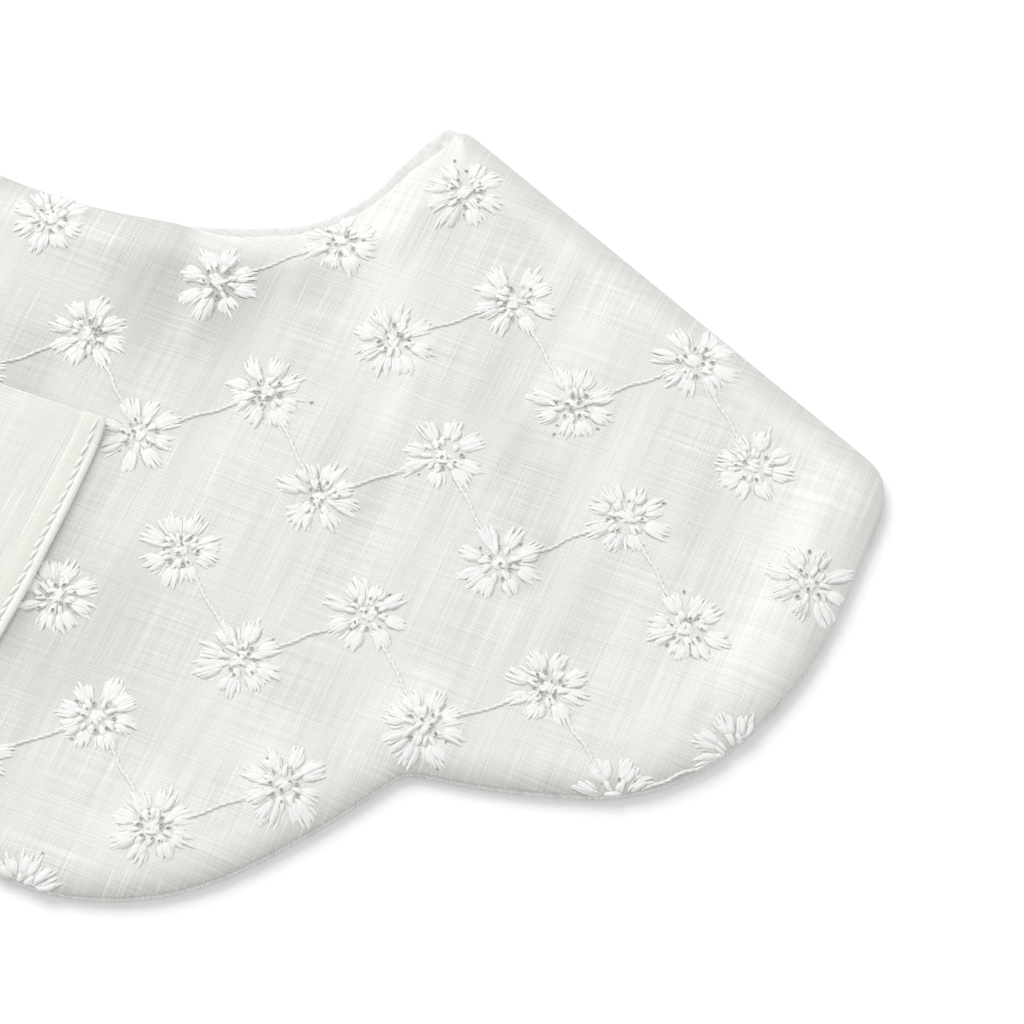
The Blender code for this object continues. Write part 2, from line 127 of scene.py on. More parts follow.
def walk(line, spacing=OUTLINE_STEP):
    """Points along a closed line, spacing apart."""
    loop = np.vstack((line, line[:1]))
    run = run_of(loop)
    stations = np.linspace(0.0, run[-1], int(run[-1] / spacing), endpoint=False)
    return np.column_stack([np.interp(stations, run, loop[:, axis]) for axis in (0, 1)])


def soften(line, width, spacing=OUTLINE_STEP):
    """A closed line with points spacing apart, rounded by two moving averages as wide as width."""
    line = walk(line, spacing)
    reach = max(1, int(width / spacing / 2.0))
    shifts = range(-reach, reach + 1)
    for _ in range(2):
        line = sum(np.roll(line, shift, axis=0) for shift in shifts) / len(shifts)
    return line


def outward(line):
    """Unit normals of a counterclockwise closed line, a quarter turn to the right of its run."""
    run = np.roll(line, -1, axis=0) - np.roll(line, 1, axis=0)
    return np.column_stack((run[:, 1], -run[:, 0])) / np.hypot(*run.T)[:, None]


def ease(value, start, end):
    """0 up to start, 1 from end on, and an S-shaped cubic between them."""
    t = np.clip((value - start) / (end - start), 0.0, 1.0)
    return t * t * (3.0 - 2.0 * t)


def bell(distance, width):
    """1 at no distance, fading evenly both ways: e to minus the square of distance over width."""
    return np.exp(-((distance / width) ** 2))


def soft_noise(across, along, size, seed):
    """Soft hills from -1 to 1: random heights on a grid, size apart, with S-curves between them."""
    heights = np.random.default_rng(seed).uniform(-1.0, 1.0, (NOISE_GRID, NOISE_GRID))
    column, row = across / size[0], along / size[1]
    left, low = np.floor(column).astype(int), np.floor(row).astype(int)
    u, v = ease(column - left, 0.0, 1.0), ease(row - low, 0.0, 1.0)
    corner = [heights[(left + i) % NOISE_GRID, (low + j) % NOISE_GRID] for j in (0, 1) for i in (0, 1)]
    return (corner[0] * (1 - u) + corner[1] * u) * (1 - v) + (corner[2] * (1 - u) + corner[3] * u) * v


def to_edge(points, rim, chunk=4000):
    """How far in points lie from a closed line, below 0 outside it, and how far along it.

    Each point is dropped square onto every side of the line, and the nearest foot counts. A point
    is inside if a level ray from it crosses the line an odd number of times.
    """
    flat = points.reshape(-1, 2)
    start, end = rim, np.roll(rim, -1, axis=0)
    run = end - start
    length = np.hypot(*run.T)
    rise = np.where(run[:, 1] == 0.0, 1.0, run[:, 1])
    depths, places = [], []
    for part in np.array_split(flat, max(1, len(flat) // chunk)):
        x = part[:, :1] - start[:, 0]
        y = part[:, 1:] - start[:, 1]
        share = np.clip((x * run[:, 0] + y * run[:, 1]) / length**2, 0.0, 1.0)
        gap = (x - share * run[:, 0]) ** 2 + (y - share * run[:, 1]) ** 2
        nearest = gap.argmin(1)
        rows = np.arange(len(part))
        crosses = (y < 0.0) != (part[:, 1:] < end[:, 1])
        inside = (crosses & (x < y / rise * run[:, 0])).sum(1) % 2 == 1
        depths.append(np.where(inside, 1.0, -1.0) * np.sqrt(gap[rows, nearest]))
        places.append((nearest + share[rows, nearest]) * OUTLINE_STEP)
    return [np.concatenate(found).reshape(points.shape[:-1]) for found in (depths, places)]


def grid_inside(rim, spacing, margin):
    """Points more than margin inside a closed line, in staggered rows, with to_edge's two values."""
    low, high = rim.min(0), rim.max(0)
    rows = np.arange(low[1], high[1], spacing * math.sqrt(0.75))
    x, y = np.meshgrid(np.arange(low[0], high[0], spacing), rows)
    x = x + spacing / 2.0 * (np.arange(len(rows)) % 2)[:, None]
    points = np.column_stack((x.ravel(), y.ravel()))
    depth, travel = to_edge(points, rim)
    inside = depth > margin
    return points[inside], depth[inside], travel[inside]


def raised(spots, height):
    """Plan places with a height for each, or one for all."""
    return np.concatenate((spots, np.broadcast_to(height, spots.shape[:-1])[..., None]), -1)


def ring_at(rim, inset, height=0.0):
    """A closed line moved inwards by inset, at a height."""
    return raised(rim - outward(rim) * inset, height)


def ring_faces(levels, count):
    """Quads between rings of count points, each ring further in than the last, facing outwards."""
    start = np.arange(count)
    after = np.roll(start, -1)
    band = np.column_stack((start, after, after + count, start + count))
    return np.vstack([band + level * count for level in range(levels - 1)])


def fill(rim, inner):
    """Triangles, facing up, over a closed line and the points inside it, numbered in that order."""
    count = len(rim)
    edges = [(start, (start + 1) % count) for start in range(count)]
    flat = [Vector(place) for place in np.vstack((rim, inner)).tolist()]
    _, _, triangles, sources, _, _ = delaunay_2d_cdt(flat, edges, [], 1, 1e-5)
    sources = np.array([source[0] for source in sources])
    return sources[np.array(triangles)]


def sewn_shell(rings, top, under=np.zeros((0, 3))):
    """A closed cloth: rings of points up round its edge, its other points on top and underneath.

    Returns its points, the quads of its edge, and the triangles of its top and its underside.
    """
    count = len(rings[0])
    points = np.vstack((*rings, top))
    over = fill(rings[-1][:, :2], top[:, :2]) + (len(rings) - 1) * count
    below = fill(rings[0][:, :2], under[:, :2])[:, ::-1]
    below = np.where(below < count, below, below - count + len(points))
    return np.vstack((points, under)), ring_faces(len(rings), count), over, below


def place_object(name, data):
    """A new object of the scene."""
    made = bpy.data.objects.new(name, data)
    bpy.context.scene.collection.objects.link(made)
    return made


def make_piece(name, points, *face_sets, uv=None):
    """A smooth mesh object from plan points and arrays of faces; uv has a pair for each corner."""
    mesh = bpy.data.meshes.new(name)
    corners = np.concatenate([faces.ravel() for faces in face_sets]).astype(np.int32)
    sizes = np.concatenate([np.full(len(faces), faces.shape[1]) for faces in face_sets])
    mesh.vertices.add(len(points))
    mesh.loops.add(len(corners))
    mesh.polygons.add(len(sizes))
    mesh.vertices.foreach_set("co", ((points + PLAN_ORIGIN) * MM).astype(np.float32).ravel())
    mesh.loops.foreach_set("vertex_index", corners)
    mesh.polygons.foreach_set("loop_start", (np.cumsum(sizes) - sizes).astype(np.int32))
    if uv is not None:
        mesh.uv_layers.new(name="lay").data.foreach_set("uv", uv.astype(np.float32).ravel())
    mesh.update(calc_edges=True)
    mesh.validate()
    mesh.shade_smooth()
    return place_object(name, mesh)


def middle_of(node):
    """The middle of a solid's box, on the plan."""
    low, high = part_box(node)
    return np.array([(low[axis] + high[axis]) / 2.0 / MM - PLAN_ORIGIN[axis] for axis in (0, 1)])


def even_turns(count):
    """The angles of count even steps round a full turn."""
    return np.linspace(0.0, FULL_TURN, count, endpoint=False)


def away_from(middle, turn, out, side=0.0):
    """Plan places that lie out from a middle, in the direction of turn, and side to its left."""
    x = out * np.cos(turn) - side * np.sin(turn)
    y = out * np.sin(turn) + side * np.cos(turn)
    return middle + np.stack((x, y), -1)


def operator(operation, swapped=False):
    """An operator of Sum: a Math node of its two values, in the order written or swapped."""

    def work_out(self, other=0.0):
        pair = (other, self) if swapped else (self, other)
        return self.finish.node("Math", {"operation": operation}, dict(enumerate(pair)))

    return work_out


class Sum:
    """A socket of a material, with which sums can be written: each operator adds its Math node."""

    def __init__(self, finish, socket):
        self.finish, self.socket = finish, socket

    def step(self, start, end):
        """0 up to start, 1 from end on, and an S-curve between them."""
        settings = {"interpolation_type": "SMOOTHSTEP"}
        return self.finish.node("MapRange", settings, {0: self, 1: start, 2: end})

    __add__ = __radd__ = operator("ADD")
    __mul__ = __rmul__ = operator("MULTIPLY")
    __sub__, __rsub__ = operator("SUBTRACT"), operator("SUBTRACT", True)
    __truediv__, __abs__, sine = operator("DIVIDE"), operator("ABSOLUTE"), operator("SINE")


class Finish:
    """A material: node adds any node with its settings and sockets, and wear puts it on pieces."""

    def __init__(self, name, roughness, specular, sheen=0.0):
        self.material = bpy.data.materials.new(name)
        self.material.use_nodes = True
        self.tree = self.material.node_tree
        self.shader = self.tree.nodes["Principled BSDF"]
        self.set("Roughness", roughness)
        self.set("Specular IOR Level", specular)
        self.set("Sheen Weight", sheen)
        self.set("Sheen Roughness", 0.5)

    def put(self, socket, value):
        """Links a socket to a sum, or sets its own value; a colour gets its fourth number here."""
        if isinstance(value, Sum):
            self.tree.links.new(value.socket, socket)
        else:
            socket.default_value = (*value, 1.0) if socket.type == "RGBA" else value

    def set(self, name, value):
        """Puts a value or a sum in one of the shader's own sockets."""
        self.put(self.shader.inputs[name], value)

    def node(self, kind, settings=None, sockets=None, output=0):
        """Adds a node, with its settings and what goes in its sockets, and returns one output."""
        made = self.tree.nodes.new("ShaderNode" + kind)
        for name, value in (settings or {}).items():
            setattr(made, name, value)
        for name, value in (sockets or {}).items():
            self.put(made.inputs[name], value)
        return Sum(self, made.outputs[output])

    def places(self, uv_map=None):
        """The three places of a point, in millimetres: its own, or those of a UV map."""
        if uv_map:
            place, unit = self.node("UVMap", {"uv_map": uv_map}), 1.0
        else:
            place, unit = self.node("TexCoord", output="Object"), MM
        apart = self.node("SeparateXYZ", None, {0: place}).socket.node.outputs
        return [Sum(self, axis) * (1.0 / unit) for axis in apart]

    def attribute(self, name):
        """The number that a piece stores with each of its points under that name."""
        return self.node("Attribute", {"attribute_name": name}, output="Fac")

    def noise(self, across, along, size, detail=2.0, seed=0.0):
        """Soft noise around 0.5 whose hills are size wide and long, in millimetres."""
        place = self.node("CombineXYZ", None, {0: across / size[0], 1: along / size[1], 2: seed})
        sockets = {"Vector": place, "Scale": 1.0, "Detail": detail, "Roughness": 0.5}
        return self.node("TexNoise", {"noise_dimensions": "3D"}, sockets)

    def mix(self, share, first, second, blend="MIX"):
        """A colour between two colours, or another blend of them. Sockets 6, 7 and 2 are its colours."""
        settings = {"data_type": "RGBA", "blend_type": blend}
        return self.node("Mix", settings, {0: share, 6: first, 7: second}, 2)

    def shade(self, colour, share):
        """A colour made darker or lighter all over: each part of it times share."""
        grey = self.node("CombineColor", None, {0: share, 1: share, 2: share})
        return self.mix(1.0, colour, grey, "MULTIPLY")

    def join(self, colour, height=None, depth=None):
        """Joins a colour, and a relief in millimetres times depth, to the shader."""
        self.set("Base Color", colour)
        if height is not None:
            sockets = {"Height": height, "Distance": depth * MM, "Strength": 1.0}
            self.set("Normal", self.node("Bump", None, sockets))

    def wear(self, *pieces):
        """Makes this the only material of the pieces."""
        for piece in pieces:
            piece.data.materials.clear()
            piece.data.materials.append(self.material)


def weave(finish, across, along, pitch, seed=0.0, closed=0.0):
    """Plain weave: its threads' relief from 0 to 1, and how light each stretch of thread is, around 1.

    The relief is the product of two sines, a hill for each crossing with a dark gap between hills.
    The gaps are open in patches, and less so by the share closed. Threads are lighter or darker by
    noise as wide as a thread and THREAD_RUN long, and some are thick and bright for a while.
    """
    warp_size, weft_size = (pitch * 0.6, THREAD_RUN), (THREAD_RUN, pitch * 0.6)
    drift = finish.noise(across, along, DRIFT_SIZE, 1.0, seed + 3.0) * DRIFT
    turn = math.pi / pitch
    hills = abs(((across + drift) * turn).sine() * ((along + drift) * turn).sine())
    warp = finish.noise(across, along, warp_size, 0.0, seed) - 0.5
    weft = finish.noise(across, along, weft_size, 0.0, seed + 7.0) - 0.5
    bands = finish.noise(across, along, BAND_SIZE, 1.0, seed + 23.0) - 0.5
    open_patches = finish.noise(across, along, OPEN_SIZE, 2.0, seed + 31.0).step(*OPEN_STEP)
    slubs = finish.noise(across, along, (pitch * 0.7, SLUB_RUN), 0.0, seed + 11.0).step(*WARP_SLUB_STEP)
    thick_weft = finish.noise(across, along, (THREAD_RUN, pitch * 0.7), 0.0, seed + 17.0)
    slubs = slubs + thick_weft.step(*WEFT_SLUB_STEP) * 0.8
    streaks = warp + weft * 1.1 + bands * 0.5
    relief = hills * 0.35 + streaks * 0.5 + slubs * 0.6
    gaps = (hills - 0.42) * (0.13 + open_patches * 0.32) * (1.0 - closed * 0.85)
    return relief, 1.0 + streaks * 0.22 + slubs * 0.11 + gaps


def slid_tips(line):
    """Slides both neck tips of a line along the shoulders, so that the strip keeps its width there.

    The slide is a bell of the distance from the tip.
    """
    from_tip = np.hypot(np.abs(line[:, 0]) - TIP_PLACE[0], line[:, 1] - TIP_PLACE[1])
    slide = np.column_stack((np.sign(line[:, 0]) * TIP_SLIDE[0], np.full(len(line), TIP_SLIDE[1])))
    return line + slide * bell(from_tip, TIP_REACH)[:, None]


def wrinkles(travel, depth):
    """Fine wrinkles, longer inwards than along the edge, which fade in past it."""
    return WRINKLE_RISE * soft_noise(travel, depth, WRINKLE_SIZE, 5) * ease(depth, 0.1, 1.2)


lining_rim = soften(slid_tips(walk(rim_of("back_lining", LINING_TOP / 2.0))), OUTLINE_SOFTNESS)
rim_travel = np.arange(len(lining_rim)) * OUTLINE_STEP
lining_rings = [ring_at(lining_rim, *place) for place in LINING_EDGE]
for ring, (inset, height) in zip(lining_rings, LINING_EDGE):
    ring[:, 2] += wrinkles(rim_travel, np.full(len(ring), inset)) * ease(height, 0.3, 1.1)
strip, depth, travel = grid_inside(lining_rim, STRIP_SPACING, LINING_EDGE[-1][0] + RING_GAP)
near = depth < STRIP_WIDTH
strip, depth, travel = strip[near], depth[near], travel[near]
strip_height = LINING_TOP + STRIP_SWELL * (1.0 - ease(depth, 1.0, 3.0)) + wrinkles(travel, depth)
middle = grid_inside(lining_rim, LINING_SPACING, STRIP_WIDTH + LINING_SPACING / 3.0)[0]
lining_over = np.vstack((raised(strip, strip_height), raised(middle, LINING_TOP)))

# The round seat of the press stud's socket in the underside, between its rims below and above
seat_middle = middle_of("press_stud_socket")
seat_rim = away_from(seat_middle, even_turns(SEAT_SIDES), SEAT_RADIUS)
points, edge, over, below = sewn_shell(lining_rings, lining_over, raised(seat_rim, 0.0))
below = below[(below < len(lining_rim)).any(1)]
seat_first = len(points) - SEAT_SIDES
seat_wall = ring_faces(2, SEAT_SIDES)[:, ::-1] + seat_first
seat_roof = (seat_first + SEAT_SIDES + np.arange(SEAT_SIDES))[None, ::-1]
points = np.vstack((points, raised(seat_rim, SEAT_TOP)))
lining = make_piece("lining", points, edge, over, below, seat_wall, seat_roof)

lining_finish = Finish("lining_cotton", 0.9, 0.25, 0.15)
x, y, _ = lining_finish.places()
relief, lightness = weave(lining_finish, x, y, THREAD_PITCH, 40.0)
# Painted light and shade of fine creases: noise makes the lining's colour lighter and darker in patches
painted_crease_shading = lining_finish.noise(x, y, PAINTED_CREASE_SIZE, 1.0, 47.0) - 0.5
lining_colour = lining_finish.shade(LINING_COLOUR, lightness + painted_crease_shading * CREASE_LIGHT_AND_SHADE)
lining_finish.join(lining_colour, relief, 0.05)
lining_finish.wear(lining)
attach(lining, "root")
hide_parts("back_lining")


# Front: fine cotton voile, sewn to the lining round the edge and turned right side out, so that its
# edge is a puffed roll over the seam allowance. It puckers softly along its warp.

FRONT_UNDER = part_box("front_panel")[0].z / MM
FRONT_WALL = 1.3
FRONT_TOP = FRONT_UNDER + FRONT_WALL
FRONT_LIP = FRONT_UNDER + 0.4
ROLL_WIDTH = 8.5
ROLL_POWER = 1.5
SEAM_PUFF = 0.55
PUFF_FADE = (8.0, 16.0)
EDGE_FADE = (0.0, 9.0)
FRONT_SPACING = 0.74
# The front's rings: the inset and height of those below its lip, then the insets of those above it
UNDER_EDGE = ((0.55, 1.62), (0.12, 1.78))
FRONT_INSETS = (0.0, 0.1, 0.3, 0.65)
VOILE_COLOUR = (0.748, 0.746, 0.715)
ALLOWANCE_COLOUR = (0.790, 0.793, 0.765)
ALLOWANCE_WIDTH = 7.5
ALLOWANCE_BLUR = 1.2
ALLOWANCE_WAVES = (6.0, 6.0)
ALLOWANCE_WAVER = 3.0
# How much folds are painted lighter and troughs painted darker: painted light and shade
FOLD_PAINTED_LIGHT_AND_SHADE = 0.19
STREAK_TONE = 0.020
STREAK_SIZE = (5.0, 22.0)
BROAD_TONE = 0.018
BROAD_SIZE = (15.0, 30.0)
# Painted shade along the seam's roll where no strip of lining shows: how dark, and how far in it fades
EDGE_PAINTED_SHADE = 0.19
EDGE_PAINTED_SHADE_WIDTH = 4.2
# Painted shade on the lip along the hem, the side away from the lamp: how dark, and how far in it fades
LIP_PAINTED_SHADE = 0.12
LIP_PAINTED_SHADE_WIDTH = 1.8
# Soft folds along the warp: middle x and y, half length, half width and rise. Below 0, it is a trough
FOLDS = (
    (29, -11, 15, 9, -0.8), (38, -12, 24, 20, -0.4), (57, 5, 9, 5, -0.4), (36.6, -67, 28, 2.8, -0.6),
    (14, -35, 11, 7, -0.8), (44, -7, 13, 4.5, -0.7), (37.5, -10, 9, 1.8, 0.3), (62, 17, 12, 4, 0.5),
    (55, -26, 18, 3, 0.24), (70, 2, 13, 5, 0.42), (85, 26, 10, 5, -0.3), (79.5, -14, 13, 3, 0.5),
    (73, -34, 16, 2.4, -0.26), (83, -39, 8, 3.2, -0.48), (94, -4, 14, 4.5, -0.3), (104, -18, 9, 3, -0.44),
    (110, -27, 9, 3, -0.36), (107, 4, 15, 4.6, 0.52), (116.5, -38, 7, 2.6, -0.56),
    (122, -20, 16, 3.4, 0.26), (128, -50, 14, 4, -0.26), (139, -14, 12, 2.6, -0.38),
    (146.5, -56, 10, 4.6, 0.44), (156.5, -24, 26, 6.2, 0.85), (106, -71, 7, 6, 0.56),
    (86, -91, 9, 4.6, 0.48), (71, -108, 9, 5, 0.42), (50, -78, 18, 12, -0.5), (40, -100, 24, 11, -0.4),
    (20, -112, 12, 6, 0.26), (-20, -18, 16, 6, 0.3), (-36, -14, 14, 7, -0.62), (-52, -2, 13, 3.6, 0.44),
    (-61, -36, 20, 3.4, 0.42), (-70, -16, 16, 3, -0.36), (-81, 2, 15, 4.6, 0.46),
    (-90, -40, 10, 3.2, -0.46), (-101, -12, 16, 3.6, -0.34), (-113, -10, 14, 3.6, 0.48),
    (-126, -44, 12, 3, -0.4), (-137, -12, 16, 3.6, 0.34), (-152, -28, 24, 4.2, 0.56),
    (-76, -74, 13, 9, -0.46), (-60, -100, 12, 5, 0.44), (-104, -72, 8, 5.6, 0.46),
    (-28, -108, 14, 7, -0.32),
)
# Fine puckers: their size across and along the warp, how high they stand, and the seam's own gathers
PUCKER_SIZE = (2.6, 17.0)
PUCKER_RISE = 0.15
FINE_PUCKER_SIZE = (1.7, 11.0)
FINE_PUCKER_RISE = 0.035
GATHER_SIZE = (4.5, 14.0)
GATHER_RISE = 0.12
GATHER_FADES = ((0.0, 3.0), (4.0, 12.0))


def folds_at(points):
    """Height of the soft folds: each is a bell across its width and fades out along its length."""
    height = 0.0
    for x, y, half_length, half_width, rise in FOLDS:
        across = (points[..., 0] - x) / half_width
        along = (points[..., 1] - y) / half_length
        height = height + rise * np.exp(-(across**2) - along**4)
    return height


def front_height(points, depth, travel):
    """Height of the front's upper side: a rolled edge, a puffed seam, folds, puckers and gathers.

    The roll is a quarter of a flattened ellipse, with ROLL_POWER in place of 2. Puckers and folds
    fade in past the edge, and the seam's gathers run square to it and fade out.
    """
    depth = np.clip(depth, 0.0, None)
    rolled = (1.0 - (1.0 - np.clip(depth / ROLL_WIDTH, 0.0, 1.0)) ** ROLL_POWER) ** (1.0 / ROLL_POWER)
    puff = SEAM_PUFF * rolled * (1.0 - ease(depth, *PUFF_FADE))
    x, y = points[..., 0], points[..., 1]
    puckers = PUCKER_RISE * soft_noise(x, y, PUCKER_SIZE, 11)
    puckers += FINE_PUCKER_RISE * soft_noise(x, y, FINE_PUCKER_SIZE, 12)
    gathers = GATHER_RISE * soft_noise(travel, depth, GATHER_SIZE, 13)
    gathers *= ease(depth, *GATHER_FADES[0]) * (1.0 - ease(depth, *GATHER_FADES[1]))
    broad = (folds_at(points) + puckers) * ease(depth, *EDGE_FADE)
    return FRONT_LIP + (FRONT_TOP - FRONT_LIP) * rolled + puff + broad + gathers


front_rim = soften(rim_of("front_panel", FRONT_LIP), OUTLINE_SOFTNESS)
front_travel = np.arange(len(front_rim)) * OUTLINE_STEP
front_rings = [ring_at(front_rim, *place) for place in UNDER_EDGE]
for inset in FRONT_INSETS:
    ring = ring_at(front_rim, inset)
    ring[:, 2] = front_height(ring[:, :2], np.full(len(ring), inset), front_travel)
    front_rings.append(ring)
inner, inner_depth, inner_travel = grid_inside(front_rim, FRONT_SPACING, FRONT_INSETS[-1] + RING_GAP)
inner_height = front_height(inner, inner_depth, inner_travel)
front_points, *front_faces = sewn_shell(front_rings, raised(inner, inner_height))
front = make_piece("front", front_points, *front_faces)


def over_front(values):
    """Values given round the front's outline, carried in to every point: its rings, then the rest."""
    return np.concatenate((np.tile(values, len(front_rings)), np.interp(inner_travel, front_travel, values)))


def add_attribute(piece, name, values):
    """Stores one number for each point of a piece, which its material reads."""
    piece.data.attributes.new(name, "FLOAT", "POINT").data.foreach_set("value", values.astype(np.float32))


# Painted light and shade: troughs are painted darker and folds lighter. Painted shade darkens the seam where
# no strip of lining shows past it, and more painted shade darkens its lip along the hem, the side away from
# the lamp
seam_shade_share = 1.0 - ease(to_edge(front_rim, lining_rim)[0], 0.8, 1.8)
# Painted shade on the lip where its edge faces the hem side, away from the lamp
hem_side_shade_share = seam_shade_share * ease(-outward(front_rim)[:, 1], 0.1, 0.8)
ring_depth = np.repeat([0.0] * len(UNDER_EDGE) + list(FRONT_INSETS), len(front_rim))
from_edge = np.concatenate((ring_depth, inner_depth))
# Painted shade along the edge roll, and more painted shade on the lip along the hem
seam_painted_shade = EDGE_PAINTED_SHADE * over_front(seam_shade_share) * bell(from_edge, EDGE_PAINTED_SHADE_WIDTH)
seam_painted_shade += LIP_PAINTED_SHADE * over_front(hem_side_shade_share) * bell(from_edge, LIP_PAINTED_SHADE_WIDTH)
x, y, _ = front_points.T
tone_and_painted_shade = STREAK_TONE * soft_noise(x, y, STREAK_SIZE, 14) + BROAD_TONE * soft_noise(x, y, BROAD_SIZE, 15)
tone_and_painted_shade += FOLD_PAINTED_LIGHT_AND_SHADE * folds_at(front_points)
add_attribute(front, "from_edge", from_edge)
add_attribute(front, "tone_and_painted_shade", tone_and_painted_shade * ease(from_edge, *EDGE_FADE) - seam_painted_shade)

voile = Finish("embroidered_cotton", 0.9, 0.25, 0.2)
x, y, _ = voile.places()
edge_waves = (voile.noise(x, y, ALLOWANCE_WAVES, 2.0, 5.0) - 0.5) * ALLOWANCE_WAVER
wavy_edge = voile.attribute("from_edge") + edge_waves
allowance = 1.0 - wavy_edge.step(ALLOWANCE_WIDTH - ALLOWANCE_BLUR, ALLOWANCE_WIDTH + ALLOWANCE_BLUR)
relief, lightness = weave(voile, x, y, THREAD_PITCH, 0.0, allowance)
voile_colour = voile.mix(allowance, VOILE_COLOUR, ALLOWANCE_COLOUR)
# The stored tone adds painted light on folds, painted shade in troughs and along the edge, and random tone
voile.join(voile.shade(voile_colour, lightness + voile.attribute("tone_and_painted_shade")), relief, 0.06)
voile.wear(front)
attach(front, "root")
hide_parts("front_panel")


# Daisies: satin stitches in thick soft thread, worked over the whole front in two interleaved rows.
# Each has eight padded petals of laid strands, inner stitches towards its middle, and knots.

REPEAT = 35.0
UPPER_DAISY = (21.5, 11.2)
LOWER_DAISY = (39.1, -5.1)
DAISY_ROWS = (8, 14)
DAISY_GROUPS = 4
MOST_OUTSIDE = 2.5
PETALS = 8
PETAL_START = 2.9
PETAL_END = 7.9
PETAL_HALF_WIDTH = 1.55
PETAL_RISE = 0.20
STRANDS = 9
STATIONS = 7
STRAND_SIDES = 6
STRAND_RADIUS = 0.35
STRAND_FLATNESS = 0.33
STRAND_SINK = 0.12
PADS = 2
PAD_STATIONS = 5
PAD_RADIUS = 1.0
PAD_FLATNESS = 0.25
PAD_RISE = 0.05
PAD_INSETS = (0.5, 1.3)
INNER_STRANDS = 2
INNER_START = 1.2
INNER_END = 4.1
INNER_GIRTH = 1.45
INNER_RISE = (0.10, 0.28)
KNOTS = 9
KNOT_SPAN = (-1.1, 1.2)
KNOT_RISE = (0.04, 0.24)
EDGE_MARGIN = 0.12
LABEL_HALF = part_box("centre_label")[1].x / MM
LABEL_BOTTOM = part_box("centre_label")[0].y / MM - PLAN_ORIGIN[1]
THREAD_COLOUR = (0.848, 0.848, 0.831)
LEAST_KEPT = 0.45
PRESS_FADE = (1.0, 9.0)
UNDER_LABEL = 0.6
SHORTEST = 1e-6


def direction(vectors):
    """Vectors made one long: each over its length."""
    return vectors / np.maximum(np.linalg.norm(vectors, axis=-1, keepdims=True), SHORTEST)


def tubes(paths, radii, sides, flat):
    """Tubes round paths, an array of strands, stations and axes: their points, faces and UVs.

    Round each station stands a ring of sides points, square to the path, flat times as high as it
    is wide, and a point closes each end. u runs round a tube and v is millimetres along it.
    """
    strands, stations = paths.shape[:2]
    run = direction(np.gradient(paths, axis=1))
    across = direction(np.stack((run[..., 1], -run[..., 0], np.zeros(run.shape[:2])), -1))
    up = np.cross(across, run)
    turn = even_turns(sides)[:, None]
    ring = np.cos(turn) * across[:, :, None] + flat * np.sin(turn) * up[:, :, None]
    rings = paths[:, :, None] + np.broadcast_to(radii, (strands, stations))[:, :, None, None] * ring
    points = np.concatenate((rings.reshape(strands, -1, 3), paths[:, :1], paths[:, -1:]), 1)
    first = (np.arange(strands) * (stations * sides + 2))[:, None]
    quads = np.roll(ring_faces(stations, sides)[:, ::-1], 1, axis=1)
    quads = (first[..., None] + quads).reshape(-1, 4)
    here, after = np.arange(sides), np.roll(np.arange(sides), -1)
    last, tip = first + (stations - 1) * sides, first + stations * sides + np.zeros((1, sides), int)
    starts = np.stack((tip, first + here, first + after), -1).reshape(-1, 3)
    ends = np.stack((tip + 1, last + after, last + here), -1).reshape(-1, 3)
    step = np.linalg.norm(np.diff(paths, axis=1), axis=2)
    travelled = np.concatenate((np.zeros((strands, 1)), np.cumsum(step, 1)), 1)[:, :, None]
    lay = np.broadcast_arrays(here / sides, (here + 1) / sides, travelled[:, :-1], travelled[:, 1:])
    u0, u1, v0, v1 = lay
    quad_uv = np.stack((u0, v0, u0, v1, u1, v1, u1, v0), -1).reshape(-1, 2)
    cap_uv = np.zeros(((len(starts) + len(ends)) * 3, 2))
    return points.reshape(-1, 3), quads, np.vstack((starts, ends)), np.vstack((quad_uv, cap_uv))


def lay_thread(name, slot, paths, radii, sides, flat):
    """Makes many tubes of thread one piece, in the thread's material, which rides on the bib. slot is not
    used.
    """
    points, quads, caps, uv = tubes(paths, radii, sides, flat)
    piece = make_piece(name, points, quads, caps, uv=uv)
    thread.wear(piece)
    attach(piece, "root")
    return piece


def under_label(spots, margin):
    """Whether spots lie under the label, at least margin inside its edge."""
    across = np.abs(spots[..., 0]) < LABEL_HALF - margin
    return across & (spots[..., 1] < LABEL_TOP - margin) & (spots[..., 1] > LABEL_BOTTOM + margin)


def press(depth):
    """How much of its rise the thread keeps: less near the edge, where the puffed seam pulls it flat."""
    return LEAST_KEPT + (1.0 - LEAST_KEPT) * ease(depth, *PRESS_FADE)


def front_foot(travel):
    """Which points of the front's outline are nearest to places along it."""
    return np.round(travel / OUTLINE_STEP).astype(int) % len(front_rim)


def on_cloth(paths, rise):
    """Lays plan paths on the front, rise above it, and returns them with which of them were kept.

    What passes over the edge is drawn back to it, and under the label the rise is pressed flat.
    Paths mostly off the front or wholly under the label are dropped.
    """
    depth, travel = to_edge(paths, front_rim)
    drawn = (front_rim - outward(front_rim) * EDGE_MARGIN)[front_foot(travel)]
    spots = np.where((depth < EDGE_MARGIN)[..., None], drawn, paths)
    height = front_height(spots, np.maximum(depth, EDGE_MARGIN), travel)
    rise = rise * press(depth)
    hidden = under_label(paths, UNDER_LABEL)
    kept = (np.median(depth, 1) > 0.0) & ~hidden.all(1)
    rise = np.where(hidden, np.minimum(rise, -STRAND_SINK), rise)
    return raised(spots, height + rise)[kept], kept


def stray(amount, shape):
    """Random amounts round 0, drawn in turn from the section's dice."""
    return dice.normal(0.0, amount, shape)


def hump(t, power):
    """Half a sine over a path, from 0 up to 1 and back, to a power."""
    return np.sin(math.pi * t) ** power


def ends_of(t, power):
    """1 at both ends of a path and 0 at its middle, to a power."""
    return np.abs(2.0 * t - 1.0) ** power


